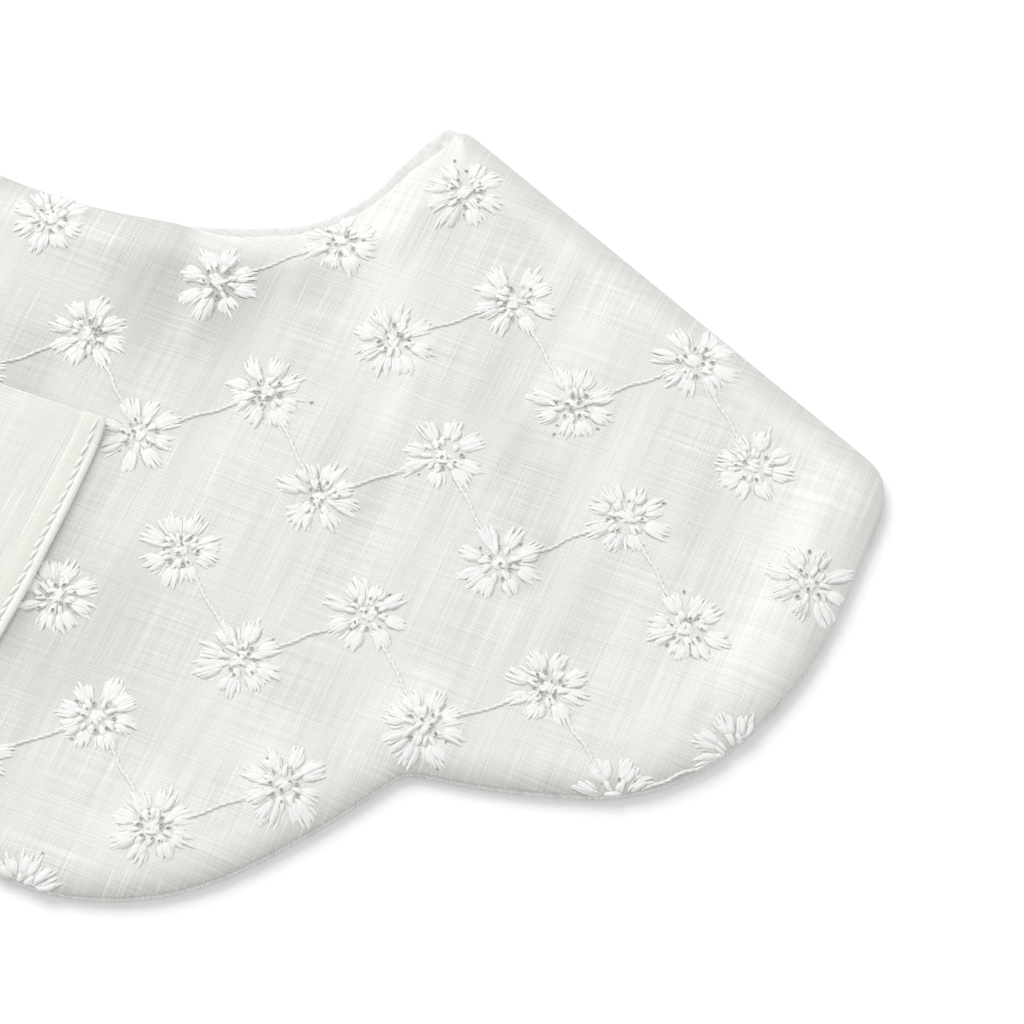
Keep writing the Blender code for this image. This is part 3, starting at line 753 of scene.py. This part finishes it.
def laid_strands(turn, start, end, side_start, side_end, bend, t):
    """Paths of strands over the daisies: straight lines from start to end out from the middle.

    side_start and side_end are how far a line lies to the left of its direction at its two ends,
    and bend bows it sideways by half a sine.
    """
    lay = np.broadcast_arrays(turn, start, end, side_start, side_end, bend)
    turn, start, end, side_start, side_end, bend = (values[..., None] for values in lay)
    side = side_start + (side_end - side_start) * t + bend * hump(t, 1.0)
    middle = centres.reshape((-1,) + (1,) * (side.ndim - 1) + (2,))
    return away_from(middle, turn, start + (end - start) * t, side).reshape(-1, len(t), 2)


# The middles of the daisies of the two rows, each a little off its place
row, column = np.divmod(np.arange(DAISY_ROWS[0] * DAISY_ROWS[1]), DAISY_ROWS[1])
steps = np.column_stack((column - DAISY_ROWS[1] // 2, 1 - row)) * REPEAT
dice = np.random.default_rng(21)
places = np.array((UPPER_DAISY, LOWER_DAISY))[:, None] + steps
upper_places, lower_places = places + stray(0.3, places.shape)
centres = np.vstack((upper_places, lower_places))
centres = centres[to_edge(centres, front_rim)[0] > -MOST_OUTSIDE]
centres = centres[~under_label(centres, PETAL_END)]

dice = np.random.default_rng(22)
flowers = (len(centres), PETALS)
shape = (*flowers, STRANDS)
petal_turn = (even_turns(PETALS) + stray(0.07, flowers))[..., None]
petal_end = PETAL_END * (1.0 + stray(0.07, flowers))[..., None]
petal_width = (1.0 + stray(0.18, flowers))[..., None]
petal_bend = stray(0.22, flowers)[..., None]
spread = np.linspace(-1.0, 1.0, STRANDS) * petal_width
t = np.linspace(0.0, 1.0, STATIONS)
arch = hump(t, 0.6)
dive = -2.0 * STRAND_SINK * ends_of(t, 6)
petal_paths = laid_strands(
    petal_turn + stray(0.045, shape),
    PETAL_START + 0.4 * np.abs(spread) + stray(0.3, shape),
    petal_end - 0.8 * np.abs(spread) ** 1.5 + stray(0.5, shape),
    0.50 * PETAL_HALF_WIDTH * spread + stray(0.10, shape),
    PETAL_HALF_WIDTH * spread + stray(0.16, shape),
    petal_bend + 0.18 * spread,
    t,
)
petal_rise = (PETAL_RISE - 0.14 * spread**2 + stray(0.035, shape)).reshape(-1, 1) * arch + dive

pad_side = PETAL_HALF_WIDTH * np.linspace(-1.0, 1.0, PADS) * petal_width
pad_t = np.linspace(0.0, 1.0, PAD_STATIONS)
pad_paths = laid_strands(
    petal_turn,
    PETAL_START + PAD_INSETS[0],
    petal_end - PAD_INSETS[1],
    0.25 * pad_side,
    0.62 * pad_side,
    petal_bend,
    pad_t,
)

shape = (*flowers, INNER_STRANDS)
inner_paths = laid_strands(
    petal_turn + stray(0.16, shape),
    INNER_START + dice.uniform(0.0, 0.9, shape),
    INNER_END + stray(0.45, shape),
    stray(0.35, shape),
    stray(0.40, shape),
    stray(0.20, shape),
    t,
)
inner_rise = dice.uniform(*INNER_RISE, (len(inner_paths), 1)) * arch + dive

shape = (len(centres), KNOTS)
knot_paths = laid_strands(
    dice.uniform(0.0, FULL_TURN, shape),
    KNOT_SPAN[0] + stray(0.3, shape),
    KNOT_SPAN[1] + stray(0.3, shape),
    stray(0.85, shape),
    stray(0.85, shape),
    stray(0.3, shape),
    t,
)
knot_rise = dice.uniform(*KNOT_RISE, (len(knot_paths), 1)) * arch + dive

thread = Finish("embroidery_thread", 0.8, 0.2, 0.3)
around, along, _ = thread.places("lay")
fibres = ((around * 3.0 + along * 0.5) * FULL_TURN).sine()
x, y, _ = thread.places()
soft = thread.noise(x, y, (0.4, 0.4), 2.0)
lightness = 1.0 + fibres * 0.012 + (soft - 0.5) * 0.05
thread.join(thread.shade(THREAD_COLOUR, lightness), fibres * 0.4 + soft, 0.03)

all_paths = np.vstack((petal_paths, inner_paths, knot_paths))
laid, kept = on_cloth(all_paths, np.vstack((petal_rise, inner_rise, knot_rise)))
girth = np.where(np.arange(len(all_paths)) < len(petal_paths), 1.0, INNER_GIRTH)[:, None]
girth = (STRAND_RADIUS * girth * dice.uniform(0.85, 1.15, girth.shape))[kept]
radii = girth * (0.35 + 0.65 * hump(t, 0.5))
for number, group in enumerate(np.array_split(np.argsort(laid[:, 0, 0]), DAISY_GROUPS)):
    strands = laid[group], radii[group], STRAND_SIDES, STRAND_FLATNESS
    lay_thread(f"daisies_{number + 1}", "embroidered_cotton", *strands)
padding, _ = on_cloth(pad_paths, PAD_RISE)
pads = padding, PAD_RADIUS * (0.3 + 0.7 * hump(pad_t, 0.5)), STRAND_SIDES - 1, PAD_FLATNESS
lay_thread("daisy_padding", "embroidered_cotton", *pads)


# Running threads: the same thread, two plies twisted, carried over the cloth from daisy to daisy in
# a zigzag along each row. A few of them run on the wrong side and don't show.

PLY_RADIUS = 0.22
PLY_FLATNESS = 0.6
PLY_OFFSET = 0.12
PLY_RISE = 0.16
PLY_PITCH = 2.6
PLY_SIDES = 5
PLY_STATIONS = 46
THREAD_WAVER = 0.22
LEAVES_DAISY = 5.0
WAVE_TURNS = (5.0, 11.0)
WRONG_SIDE_REACH = 6.0
# Middles of the links that don't show
WRONG_SIDE = ((65.3, 3.0), (47.8, -67.0), (153.0, -32.0), (-39.0, 3.0), (-74.0, -67.0), (-109.5, -32.0))

upper_grid, lower_grid = upper_places.reshape(*DAISY_ROWS, 2), lower_places.reshape(*DAISY_ROWS, 2)
links = np.vstack((
    np.stack((upper_grid, lower_grid), 2).reshape(-1, 2, 2),
    np.stack((upper_grid[:, 1:], lower_grid[:, :-1]), 2).reshape(-1, 2, 2),
))
unseen = np.linalg.norm(links.mean(1)[:, None] - np.array(WRONG_SIDE), axis=2).min(1) < WRONG_SIDE_REACH
both_ends = (to_edge(links, front_rim)[0] > -MOST_OUTSIDE).all(1)
links = links[both_ends & ~unseen]
heading = links[:, 1] - links[:, 0]
reach = np.linalg.norm(heading, axis=1, keepdims=True)
heading /= reach
share = np.linspace(0.0, 1.0, PLY_STATIONS)
travel = LEAVES_DAISY + share * (reach - 2.0 * LEAVES_DAISY)
dice = np.random.default_rng(31)
waves = share * dice.uniform(*WAVE_TURNS, reach.shape) + dice.uniform(0.0, 6.0, reach.shape)
waver = THREAD_WAVER * np.sin(waves) * hump(share, 1.0)
aside = np.column_stack((-heading[:, 1], heading[:, 0]))
thread_paths = links[:, :1] + heading[:, None] * travel[..., None] + aside[:, None] * waver[..., None]
thread_laid, kept = on_cloth(thread_paths, PLY_RISE)
phase = FULL_TURN * travel[kept] / PLY_PITCH + dice.uniform(0.0, 6.0, (kept.sum(), 1))
plies = []
for turn in (phase, phase + math.pi):
    sideways = aside[kept][:, None] * np.cos(turn)[..., None]
    plies.append(thread_laid + PLY_OFFSET * np.dstack((sideways, PLY_FLATNESS * np.sin(turn))))
plies = np.vstack(plies)
running = lay_thread("running_threads", "embroidered_cotton", plies, PLY_RADIUS, PLY_SIDES, PLY_FLATNESS)


# Needle holes: where the thick needle went through, the voile stands open between and beyond the
# petals, and the shade under it is painted on as small dark ovals.

HOLE_SIDES = 8
HOLE_LENGTH = 0.35
HOLE_WIDTH = 0.23
HOLE_SPREAD = (0.6, 1.2)
FROM_EDGE = 1.0
FROM_LABEL = 0.8
# The rings of a hole from outside in: share of its size, height over the cloth, and how much painted shade it
# takes
HOLE_RINGS = ((1.7, -0.06, 0.0), (1.35, 0.06, 0.0), (0.95, 0.05, 0.9), (0.5, 0.03, 1.0))
# The four kinds are beside a petal's root, between petals, at a tip, and in the middle: how far out
# they lie and stray, how many of their places have a hole, and how far the thread lifts them
HOLE_PLACES = ((2.8, 0.40), (4.9, 0.9), (7.4, 0.3), (1.5, 0.5))
HOLE_SHARES = (0.80, 0.30, 0.06, 0.28)
HOLE_LIFTS = (0.36, 0.05, 0.05, 0.42)
# Painted shade in place of an open hole: the colour of each hole's inner rings
HOLE_SHADE_COLOUR = (0.31, 0.31, 0.295)

dice = np.random.default_rng(41)
groove = (np.arange(PETALS) + 0.5) * FULL_TURN / PETALS + stray(0.14, flowers)
petal_line = even_turns(PETALS) + stray(0.24, flowers)
turn = np.stack((groove, groove + stray(0.12, flowers), petal_line, petal_line))
out = np.stack([place + stray(amount, flowers) for place, amount in HOLE_PLACES])
shows = dice.uniform(size=turn.shape) < np.array(HOLE_SHARES)[:, None, None]
hole_middle, turn = away_from(centres[:, None], turn, out)[shows], turn[shows]
clear = (to_edge(hole_middle, front_rim)[0] > FROM_EDGE) & ~under_label(hole_middle, -FROM_LABEL)
hole_middle, turn = hole_middle[clear], turn[clear][:, None]
lift = np.broadcast_to(np.array(HOLE_LIFTS)[:, None, None], shows.shape)[shows][clear][:, None]
size = dice.uniform(*HOLE_SPREAD, turn.shape)
lean = turn + stray(0.5, turn.shape)
round_hole = even_turns(HOLE_SIDES)
brims, painted_hole_shade = [], []
for share, rise, dark in HOLE_RINGS:
    out = share * size * HOLE_LENGTH * np.cos(round_hole)
    brim = away_from(hole_middle[:, None], lean, out, share * size * HOLE_WIDTH * np.sin(round_hole))
    depth, travel = to_edge(brim, front_rim)
    lifted = lift * press(depth) * (rise > 0.0)
    brims.append(raised(brim, front_height(brim, depth, travel) + lifted + rise))
    painted_hole_shade.append(np.full(out.shape, dark))
first = (np.arange(len(size)) * len(HOLE_RINGS) * HOLE_SIDES)[:, None]
walls = (first[..., None] + ring_faces(len(HOLE_RINGS), HOLE_SIDES)).reshape(-1, 4)
floors = first + (len(HOLE_RINGS) - 1) * HOLE_SIDES + np.arange(HOLE_SIDES)
under = first + np.arange(HOLE_SIDES)[::-1]
holes = make_piece("needle_holes", np.concatenate(brims, 1).reshape(-1, 3), walls, floors, under)
add_attribute(holes, "dark", np.concatenate(painted_hole_shade, 1).ravel())

hole_finish = Finish("needle_hole", 0.9, 0.1)
x, y, _ = hole_finish.places()
relief, lightness = weave(hole_finish, x, y, THREAD_PITCH)
# Painted shade: the inner rings of each hole take the shade colour
hole_painted_shade = hole_finish.mix(hole_finish.attribute("dark"), VOILE_COLOUR, HOLE_SHADE_COLOUR)
hole_finish.join(hole_finish.shade(hole_painted_shade, lightness), relief, 0.06)
hole_finish.wear(holes)
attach(holes, "root")


# Label: a plain cream tape across the chest. Its two ends are folded under and sewn down with
# slanted stitches; its top and bottom edges are free, and the top one lifts a little in waves.

LABEL_GAP = 0.25
LABEL_WALL = 0.45
LABEL_SPACING = 0.5
LABEL_CORNER = 1.0
# The tape's edge from below up to its top: inset, and share of its wall
LABEL_EDGE = ((0.25, 0.0), (0.0, 0.45), (0.10, 0.85), (0.35, 1.0))
END_FOLD = 4.9
END_FOLD_WALL = 0.45
END_ROLL_PLACE = 0.85
END_ROLL_WIDTH = 0.42
END_ROLL_RISE = 0.20
# How far the tape's ends bow in or out, by the place along them from their middle, and its fade
BOW_FADE = 4.0
END_BOW = ((-24.3, 0.0), (-12.0, 0.45), (6.0, 0.25), (15.0, -0.1), (20.0, -0.45), (24.3, -0.9))
STITCH_LINE = 1.85
STITCH_PITCH = 2.5
STITCH_LENGTH = 2.9
STITCH_SLANT = 0.65
STITCH_RADIUS = 0.34
STITCH_DENT = 0.12
CORNER_LIFT = 0.7
CORNER_REACH = 6.0
TOP_LIFT = 0.45
TOP_LIFT_LENGTH = 8.0
LABEL_WAVES = (8.0, 13.0)
LABEL_WAVE_RISE = 0.07
FOLDS_FELT = 0.6
FIRST_STITCH = 1.2
LABEL_COLOUR = (0.758, 0.755, 0.722)
LABEL_FOLD_COLOUR = (0.755, 0.745, 0.695)
LABEL_ROLL_COLOUR = (0.88, 0.875, 0.84)
LABEL_PITCH = 0.3
BELOW_SPACING = 4.0

label_middle = np.array((0.0, (LABEL_TOP + LABEL_BOTTOM) / 2.0))
label_half = np.array((LABEL_HALF, (LABEL_TOP - LABEL_BOTTOM) / 2.0))


def bow_at(y):
    """How far the tape's ends bow out at a place along them, by straight lines between END_BOW's rows."""
    return np.interp(y - label_middle[1], *np.array(END_BOW).T)


def label_under(points):
    """Height of the tape's underside: on the front's folds, with a soft wavy lift at its top edge."""
    x, y = points[..., 0], points[..., 1]
    lift = TOP_LIFT * ease(y, LABEL_TOP - TOP_LIFT_LENGTH, LABEL_TOP)
    lift *= 0.65 + 0.35 * soft_noise(x, y * 0.0, (6.0, 1.0), 51)
    waves = LABEL_WAVE_RISE * soft_noise(x, y, LABEL_WAVES, 52)
    corner = CORNER_LIFT * ease(np.abs(x), LABEL_HALF - CORNER_REACH, LABEL_HALF - 1.0)
    corner *= ease(y, LABEL_TOP - CORNER_REACH, LABEL_TOP)
    return FRONT_TOP + LABEL_GAP + FOLDS_FELT * folds_at(points) + np.clip(lift, 0.0, None) + waves + corner


def label_top(points):
    """Height of the tape's upper side: its wall, the turned-under ends, their roll and the stitch dents.

    The roll is a bell across the end. The dents are a bell across the stitch line that deepens and
    fades by a cosine, one wave for each stitch.
    """
    from_end = LABEL_HALF - np.abs(points[..., 0]) + bow_at(points[..., 1])
    wall = LABEL_WALL + END_FOLD_WALL * (1.0 - ease(from_end, END_FOLD - 0.5, END_FOLD))
    roll = END_ROLL_RISE * bell(from_end - END_ROLL_PLACE, END_ROLL_WIDTH)
    wave = 0.5 + 0.5 * np.cos(FULL_TURN * (points[..., 1] - LABEL_BOTTOM) / STITCH_PITCH)
    dent = STITCH_DENT * (0.55 + 0.45 * wave) * bell(from_end - STITCH_LINE, 0.6)
    return label_under(points) + wall + roll - dent


corner_signs = np.array(((1, -1), (1, 1), (-1, 1), (-1, -1)))
label_rim = soften(label_middle + corner_signs * label_half, LABEL_CORNER, LABEL_SPACING)
at_end = ease(np.abs(label_rim[:, 0]), LABEL_HALF - BOW_FADE, LABEL_HALF)
label_rim[:, 0] += np.sign(label_rim[:, 0]) * bow_at(label_rim[:, 1]) * at_end
label_rings = []
for inset, share in LABEL_EDGE:
    ring = ring_at(label_rim, inset)
    under = label_under(ring)
    ring[:, 2] = under + share * (label_top(ring) - under)
    label_rings.append(ring)
inner = grid_inside(label_rim, LABEL_SPACING, LABEL_EDGE[-1][0] + LABEL_SPACING / 2.0)[0]
below = grid_inside(label_rim, BELOW_SPACING, BELOW_SPACING / 2.0)[0]
label_shell = sewn_shell(label_rings, raised(inner, label_top(inner)), raised(below, label_under(below)))
label = make_piece("label", *label_shell)

tape = Finish("label_tape", 0.8, 0.3, 0.2)
x, y, _ = tape.places()
relief, lightness = weave(tape, x, y, LABEL_PITCH, 60.0)
from_end = LABEL_HALF - abs(x)
on_fold = 1.0 - from_end.step(END_FOLD - 0.15, END_FOLD + 0.15)
fold_edge = from_end.step(END_FOLD - 0.1, END_FOLD + 0.15) - from_end.step(END_FOLD + 0.25, END_FOLD + 0.55)
ribs = (x * (math.pi / LABEL_PITCH)).sine() * (1.0 - on_fold)
patches = tape.noise(x, y, (3.5, 9.0), 2.0, 64.0) - 0.5
on_roll = 1.0 - from_end.step(STITCH_LINE - 1.0, STITCH_LINE)
tape_colour = tape.mix(on_fold, LABEL_COLOUR, LABEL_FOLD_COLOUR)
tape_colour = tape.mix(on_roll, tape_colour, LABEL_ROLL_COLOUR)
lightness = 1.0 + (lightness - 1.0) * (1.0 - on_fold * 0.6) + fold_edge * 0.07 + ribs * 0.015 + patches * 0.05
tape.join(tape.shade(tape_colour, lightness), relief + ribs * 0.3 + fold_edge, 0.05)
tape.wear(label)
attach(label, "root")
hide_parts("centre_label")

rows = np.arange(LABEL_BOTTOM + FIRST_STITCH, LABEL_TOP - 1.0, STITCH_PITCH)
dice = np.random.default_rng(71)
t = np.linspace(0.0, 1.0, 9)
stitch_paths = []
for side in (-1.0, 1.0):
    place = rows + stray(0.12, rows.shape)
    out = STITCH_LINE + STITCH_SLANT * (0.5 - t) + stray(0.07, (len(rows), 1))
    up = place[:, None] + STITCH_LENGTH * (t - 0.5) * dice.uniform(0.9, 1.1, (len(rows), 1))
    stitch_paths.append(np.dstack((side * (LABEL_HALF - out + bow_at(up)), up)))
stitch_paths = np.vstack(stitch_paths)
stitch_height = label_top(stitch_paths) + 0.16 * hump(t, 0.5) - 0.06 * ends_of(t, 6)
stitches = raised(stitch_paths, stitch_height), STITCH_RADIUS * (0.6 + 0.4 * hump(t, 0.5)), 8, 0.8
label_stitches = lay_thread("label_stitches", "label_tape", *stitches)


# Neck strap: a tube of plain cotton turned right side out and pressed flat, stitched round its edge.
# Its square end is sewn into the seam beside the left neck tip, and it goes round behind the neck.

STRAP_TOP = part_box("neck_strap")[1].z / MM
STRAP_RIM = 0.55
STRAP_SPACING = 0.75
STRAP_CORNER = 1.0
# Its rings from the table up: inset and height
STRAP_EDGE = ((0.5, 0.0), (0.1, 0.2), (0.0, 0.7), (0.15, 1.25), (0.6, 1.62))
STRAP_TUCK = 1.3
EDGE_STITCH = 2.2
EDGE_STITCH_PITCH = 2.6
EDGE_STITCH_LENGTH = 2.0
EDGE_STITCH_RADIUS = 0.13
STITCH_GATHERS = (1.8, 5.0)
STITCH_GATHER_RISE = 0.07
STRAP_CREASES = (7.0, 7.0)
STRAP_CREASE_RISE = 0.06
STUD_BULGE = 0.12
STUD_BULGE_WIDTH = 5.0
FROM_SEAM = 1.5
STUD_PLACE = middle_of("press_stud_post")


def strap_height(points, depth, travel):
    """Height of the strap's upper side: flat, puffed at its edge, dented along its stitches.

    Small gathers square to the stitches fade out towards its middle, and it bulges under the stud.
    """
    swell = (STRAP_TOP - STRAP_EDGE[-1][1]) * ease(depth, 0.0, 1.6)
    dent = 0.22 * bell(depth - EDGE_STITCH, 0.7)
    gathers = STITCH_GATHER_RISE * soft_noise(travel, depth, STITCH_GATHERS, 81)
    gathers *= 1.0 - ease(depth, 3.0, 7.0)
    painted_crease_shading = STRAP_CREASE_RISE * soft_noise(points[..., 0], points[..., 1], STRAP_CREASES, 82)
    under_stud = STUD_BULGE * bell(np.linalg.norm(points - STUD_PLACE, axis=-1), STUD_BULGE_WIDTH)
    return STRAP_EDGE[-1][1] + swell - dent + (gathers + painted_crease_shading) * ease(depth, 0.0, 1.0) + under_stud


strap_rim = soften(rim_of("neck_strap", STRAP_RIM), STRAP_CORNER)
depth, travel = to_edge(strap_rim, front_rim)
tucked = strap_rim - outward(front_rim)[front_foot(travel)] * STRAP_TUCK
strap_rim = np.where(depth[:, None] > -STRAP_TUCK, tucked, strap_rim)
strap_rings = [ring_at(strap_rim, *place) for place in STRAP_EDGE]
inner, depth, travel = grid_inside(strap_rim, STRAP_SPACING, STRAP_EDGE[-1][0] + RING_GAP)
strap = make_piece("strap", *sewn_shell(strap_rings, raised(inner, strap_height(inner, depth, travel))))

strap_finish = Finish("strap_cotton", 0.9, 0.25, 0.15)
x, y, _ = strap_finish.places()
relief, lightness = weave(strap_finish, x, y, THREAD_PITCH, 90.0)
strap_finish.join(strap_finish.shade(LINING_COLOUR, lightness), relief, 0.05)
strap_finish.wear(strap)
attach(strap, "root")
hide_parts("neck_strap")

stitch_ring = strap_rim - outward(strap_rim) * EDGE_STITCH
stitch_ring = stitch_ring[to_edge(stitch_ring, front_rim)[0] < -FROM_SEAM]
stitch_ring = np.roll(stitch_ring, -1 - int(np.argmax(np.diff(run_of(stitch_ring)))), axis=0)
run = run_of(stitch_ring)
t = np.linspace(0.0, 1.0, 7)
stations = np.arange(0.5, run[-1] - EDGE_STITCH_PITCH, EDGE_STITCH_PITCH)[:, None] + EDGE_STITCH_LENGTH * t
spots = np.dstack([np.interp(stations, run, stitch_ring[:, axis]) for axis in (0, 1)])
stitch_height = strap_height(spots, *to_edge(spots, strap_rim)) + 0.10 * hump(t, 0.5) - 0.12 * ends_of(t, 5)
stitches = raised(spots, stitch_height), EDGE_STITCH_RADIUS, 6, 0.8
strap_stitches = lay_thread("strap_stitches", "strap_cotton", *stitches)


# Press stud: two round halves of milky plastic, each sewn on through four slots in its rim. The post
# is on the strap's end, and the socket is let into the lining under the right neck tip.

STUD_SIDES = 48
STUD_COLOUR = (0.86, 0.86, 0.84)
STUD_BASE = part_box("press_stud_post")[0].z / MM
SLOTS = 4
SLOT_PLACE = 2.9
SEWING_STRANDS = 5
SEWING_RADIUS = 0.17
SEWING_HALF_WIDTH = 0.75
SEWING_PAST_RIM = 0.7
# The outlines of the two halves, from their axis round to their axis: radius and height
POST_OUTLINE = (
    (0.62, 2.2), (0.95, 2.05), (1.1, 1.75), (1.02, 1.4), (0.88, 1.15), (0.92, 0.95), (1.25, 0.85),
    (1.9, 0.82), (2.15, 0.66), (2.4, 0.56), (3.5, 0.52), (3.7, 0.66), (3.95, 0.7), (4.15, 0.58),
    (4.2, 0.35), (4.1, 0.1), (3.85, 0.0),
)
SOCKET_OUTLINE = (
    (3.9, 1.2), (4.4, 1.15), (4.58, 0.9), (4.55, 0.62), (4.3, 0.5), (3.9, 0.52), (3.3, 0.48), (3.0, 0.3),
    (2.8, 0.08), (2.5, 0.0), (1.75, 0.0), (1.5, 0.08), (1.38, 0.3), (1.45, 0.8),
)
# Each half's name, outline, place and base, the heights of its sewing at the slot, over the rim and in
# the cloth, and its rim's radius
HALVES = (
    ("stud_post", POST_OUTLINE, STUD_PLACE, STUD_BASE, 0.62, 1.0, -0.35, 4.2),
    ("stud_socket", SOCKET_OUTLINE, seat_middle, 0.0, 0.45, 0.3, 0.75, 4.6),
)


def turned(outline, place, base):
    """A round piece: its outline of radius and height turned about an upright axis, with flat ends."""
    radius, height = np.array(outline).T[..., None]
    points = raised(away_from(place, even_turns(STUD_SIDES), radius), base + height).reshape(-1, 3)
    first = np.arange(STUD_SIDES)[None]
    last = first[:, ::-1] + (len(outline) - 1) * STUD_SIDES
    return points, ring_faces(len(outline), STUD_SIDES)[:, ::-1], first, last


plastic = Finish("stud_plastic", 0.32, 0.5)
plastic.set("Subsurface Weight", 0.3)
plastic.set("Subsurface Radius", (1.0, 1.0, 1.0))
plastic.set("Subsurface Scale", 0.5 * MM)
x, y, z = plastic.places()
haze = plastic.noise(x, y, (1.8, 1.8), 3.0, 95.0)
swirl = plastic.noise(x + z, y, (0.5, 3.0), 2.0, 97.0)
plastic.join(plastic.shade(STUD_COLOUR, 1.0 + (haze - 0.5) * 0.06), swirl, 0.02)
plastic.set("Roughness", 0.28 + haze * 0.12)
dice = np.random.default_rng(91)
t = np.linspace(0.0, 1.0, 9)
turn = ((np.repeat(np.arange(SLOTS), SEWING_STRANDS) + 0.5) * FULL_TURN / SLOTS)[:, None]
aside = np.tile(np.linspace(-1.0, 1.0, SEWING_STRANDS) * SEWING_HALF_WIDTH, SLOTS)[:, None]
for name, outline, place, base, slot, over, cloth, rim in HALVES:
    stud = make_piece(name, *turned(outline, place, base))
    plastic.wear(stud)
    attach(stud, "root")
    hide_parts(f"press_{name}")
    out = SLOT_PLACE + (rim - SLOT_PLACE + SEWING_PAST_RIM) * t + stray(0.08, turn.shape)
    side = aside * (1.0 - 0.25 * t) + stray(0.05, turn.shape)
    height = base + slot + (cloth - slot) * t**4 + (over - slot) * hump(t, 0.7)
    sewing = raised(away_from(place, turn, out, side), height)
    lay_thread(f"{name}_sewing", "stud_plastic", sewing, SEWING_RADIUS, 6, 0.8)


# Floor, soft light and the camera: a pale table top in a bright room, a large soft lamp to the left,
# and a camera that looks down at the bib from the side that the photograph was taken from.

FLOOR_HALF = 2.0
FLOOR_DROP = 0.0001
CAMERA_TARGET = Vector((107.22, -29.69, 3.0))
CAMERA_DISTANCE = 711.6
CAMERA_AZIMUTH = 22.84
CAMERA_ELEVATION = 61.19
CAMERA_ROLL = -0.69
CAMERA_LENS = 140.6
CAMERA_SENSOR = 36.0
ROOM_LIGHT = 0.76
KEY_POWER = 15.0
KEY_PLACE = Vector((-950.0, 640.0, 1150.0))
KEY_SIZE = 1.2

floor_mesh = bpy.data.meshes.new("floor")
floor_corners = [(FLOOR_HALF * x, FLOOR_HALF * y, -FLOOR_DROP) for x, y in corner_signs.tolist()]
floor_mesh.from_pydata(floor_corners, [], [(0, 1, 2, 3)])
floor = place_object("floor", floor_mesh)
table_top = Finish("table_top", 0.85, 0.2)
table_top.join((0.98, 0.98, 0.98))
table_top.wear(floor)

room = bpy.data.worlds.new("room")
room.use_nodes = True
backdrop = room.node_tree.nodes["Background"].inputs
backdrop["Color"].default_value = (1.0, 1.0, 1.0, 1.0)
backdrop["Strength"].default_value = ROOM_LIGHT
bpy.context.scene.world = room

target = (CAMERA_TARGET + Vector(PLAN_ORIGIN)) * MM
key = bpy.data.lights.new("key", "AREA")
key.energy = KEY_POWER
key.size = KEY_SIZE
key_lamp = place_object("key", key)
key_lamp.location = target + KEY_PLACE * MM
key_lamp.rotation_euler = (-KEY_PLACE).to_track_quat("-Z", "Y").to_euler()

camera = bpy.data.cameras.new("camera")
camera.lens = CAMERA_LENS
camera.sensor_width = CAMERA_SENSOR
look = Euler((math.radians(90.0 - CAMERA_ELEVATION), 0.0, math.radians(CAMERA_AZIMUTH))).to_matrix()
look = look @ Euler((0.0, 0.0, math.radians(CAMERA_ROLL))).to_matrix()
eye = place_object("camera", camera)
eye.rotation_euler = look.to_euler()
eye.location = target + look @ Vector((0.0, 0.0, CAMERA_DISTANCE * MM))
bpy.context.scene.camera = eye
bpy.context.scene.view_settings.view_transform = "Standard"
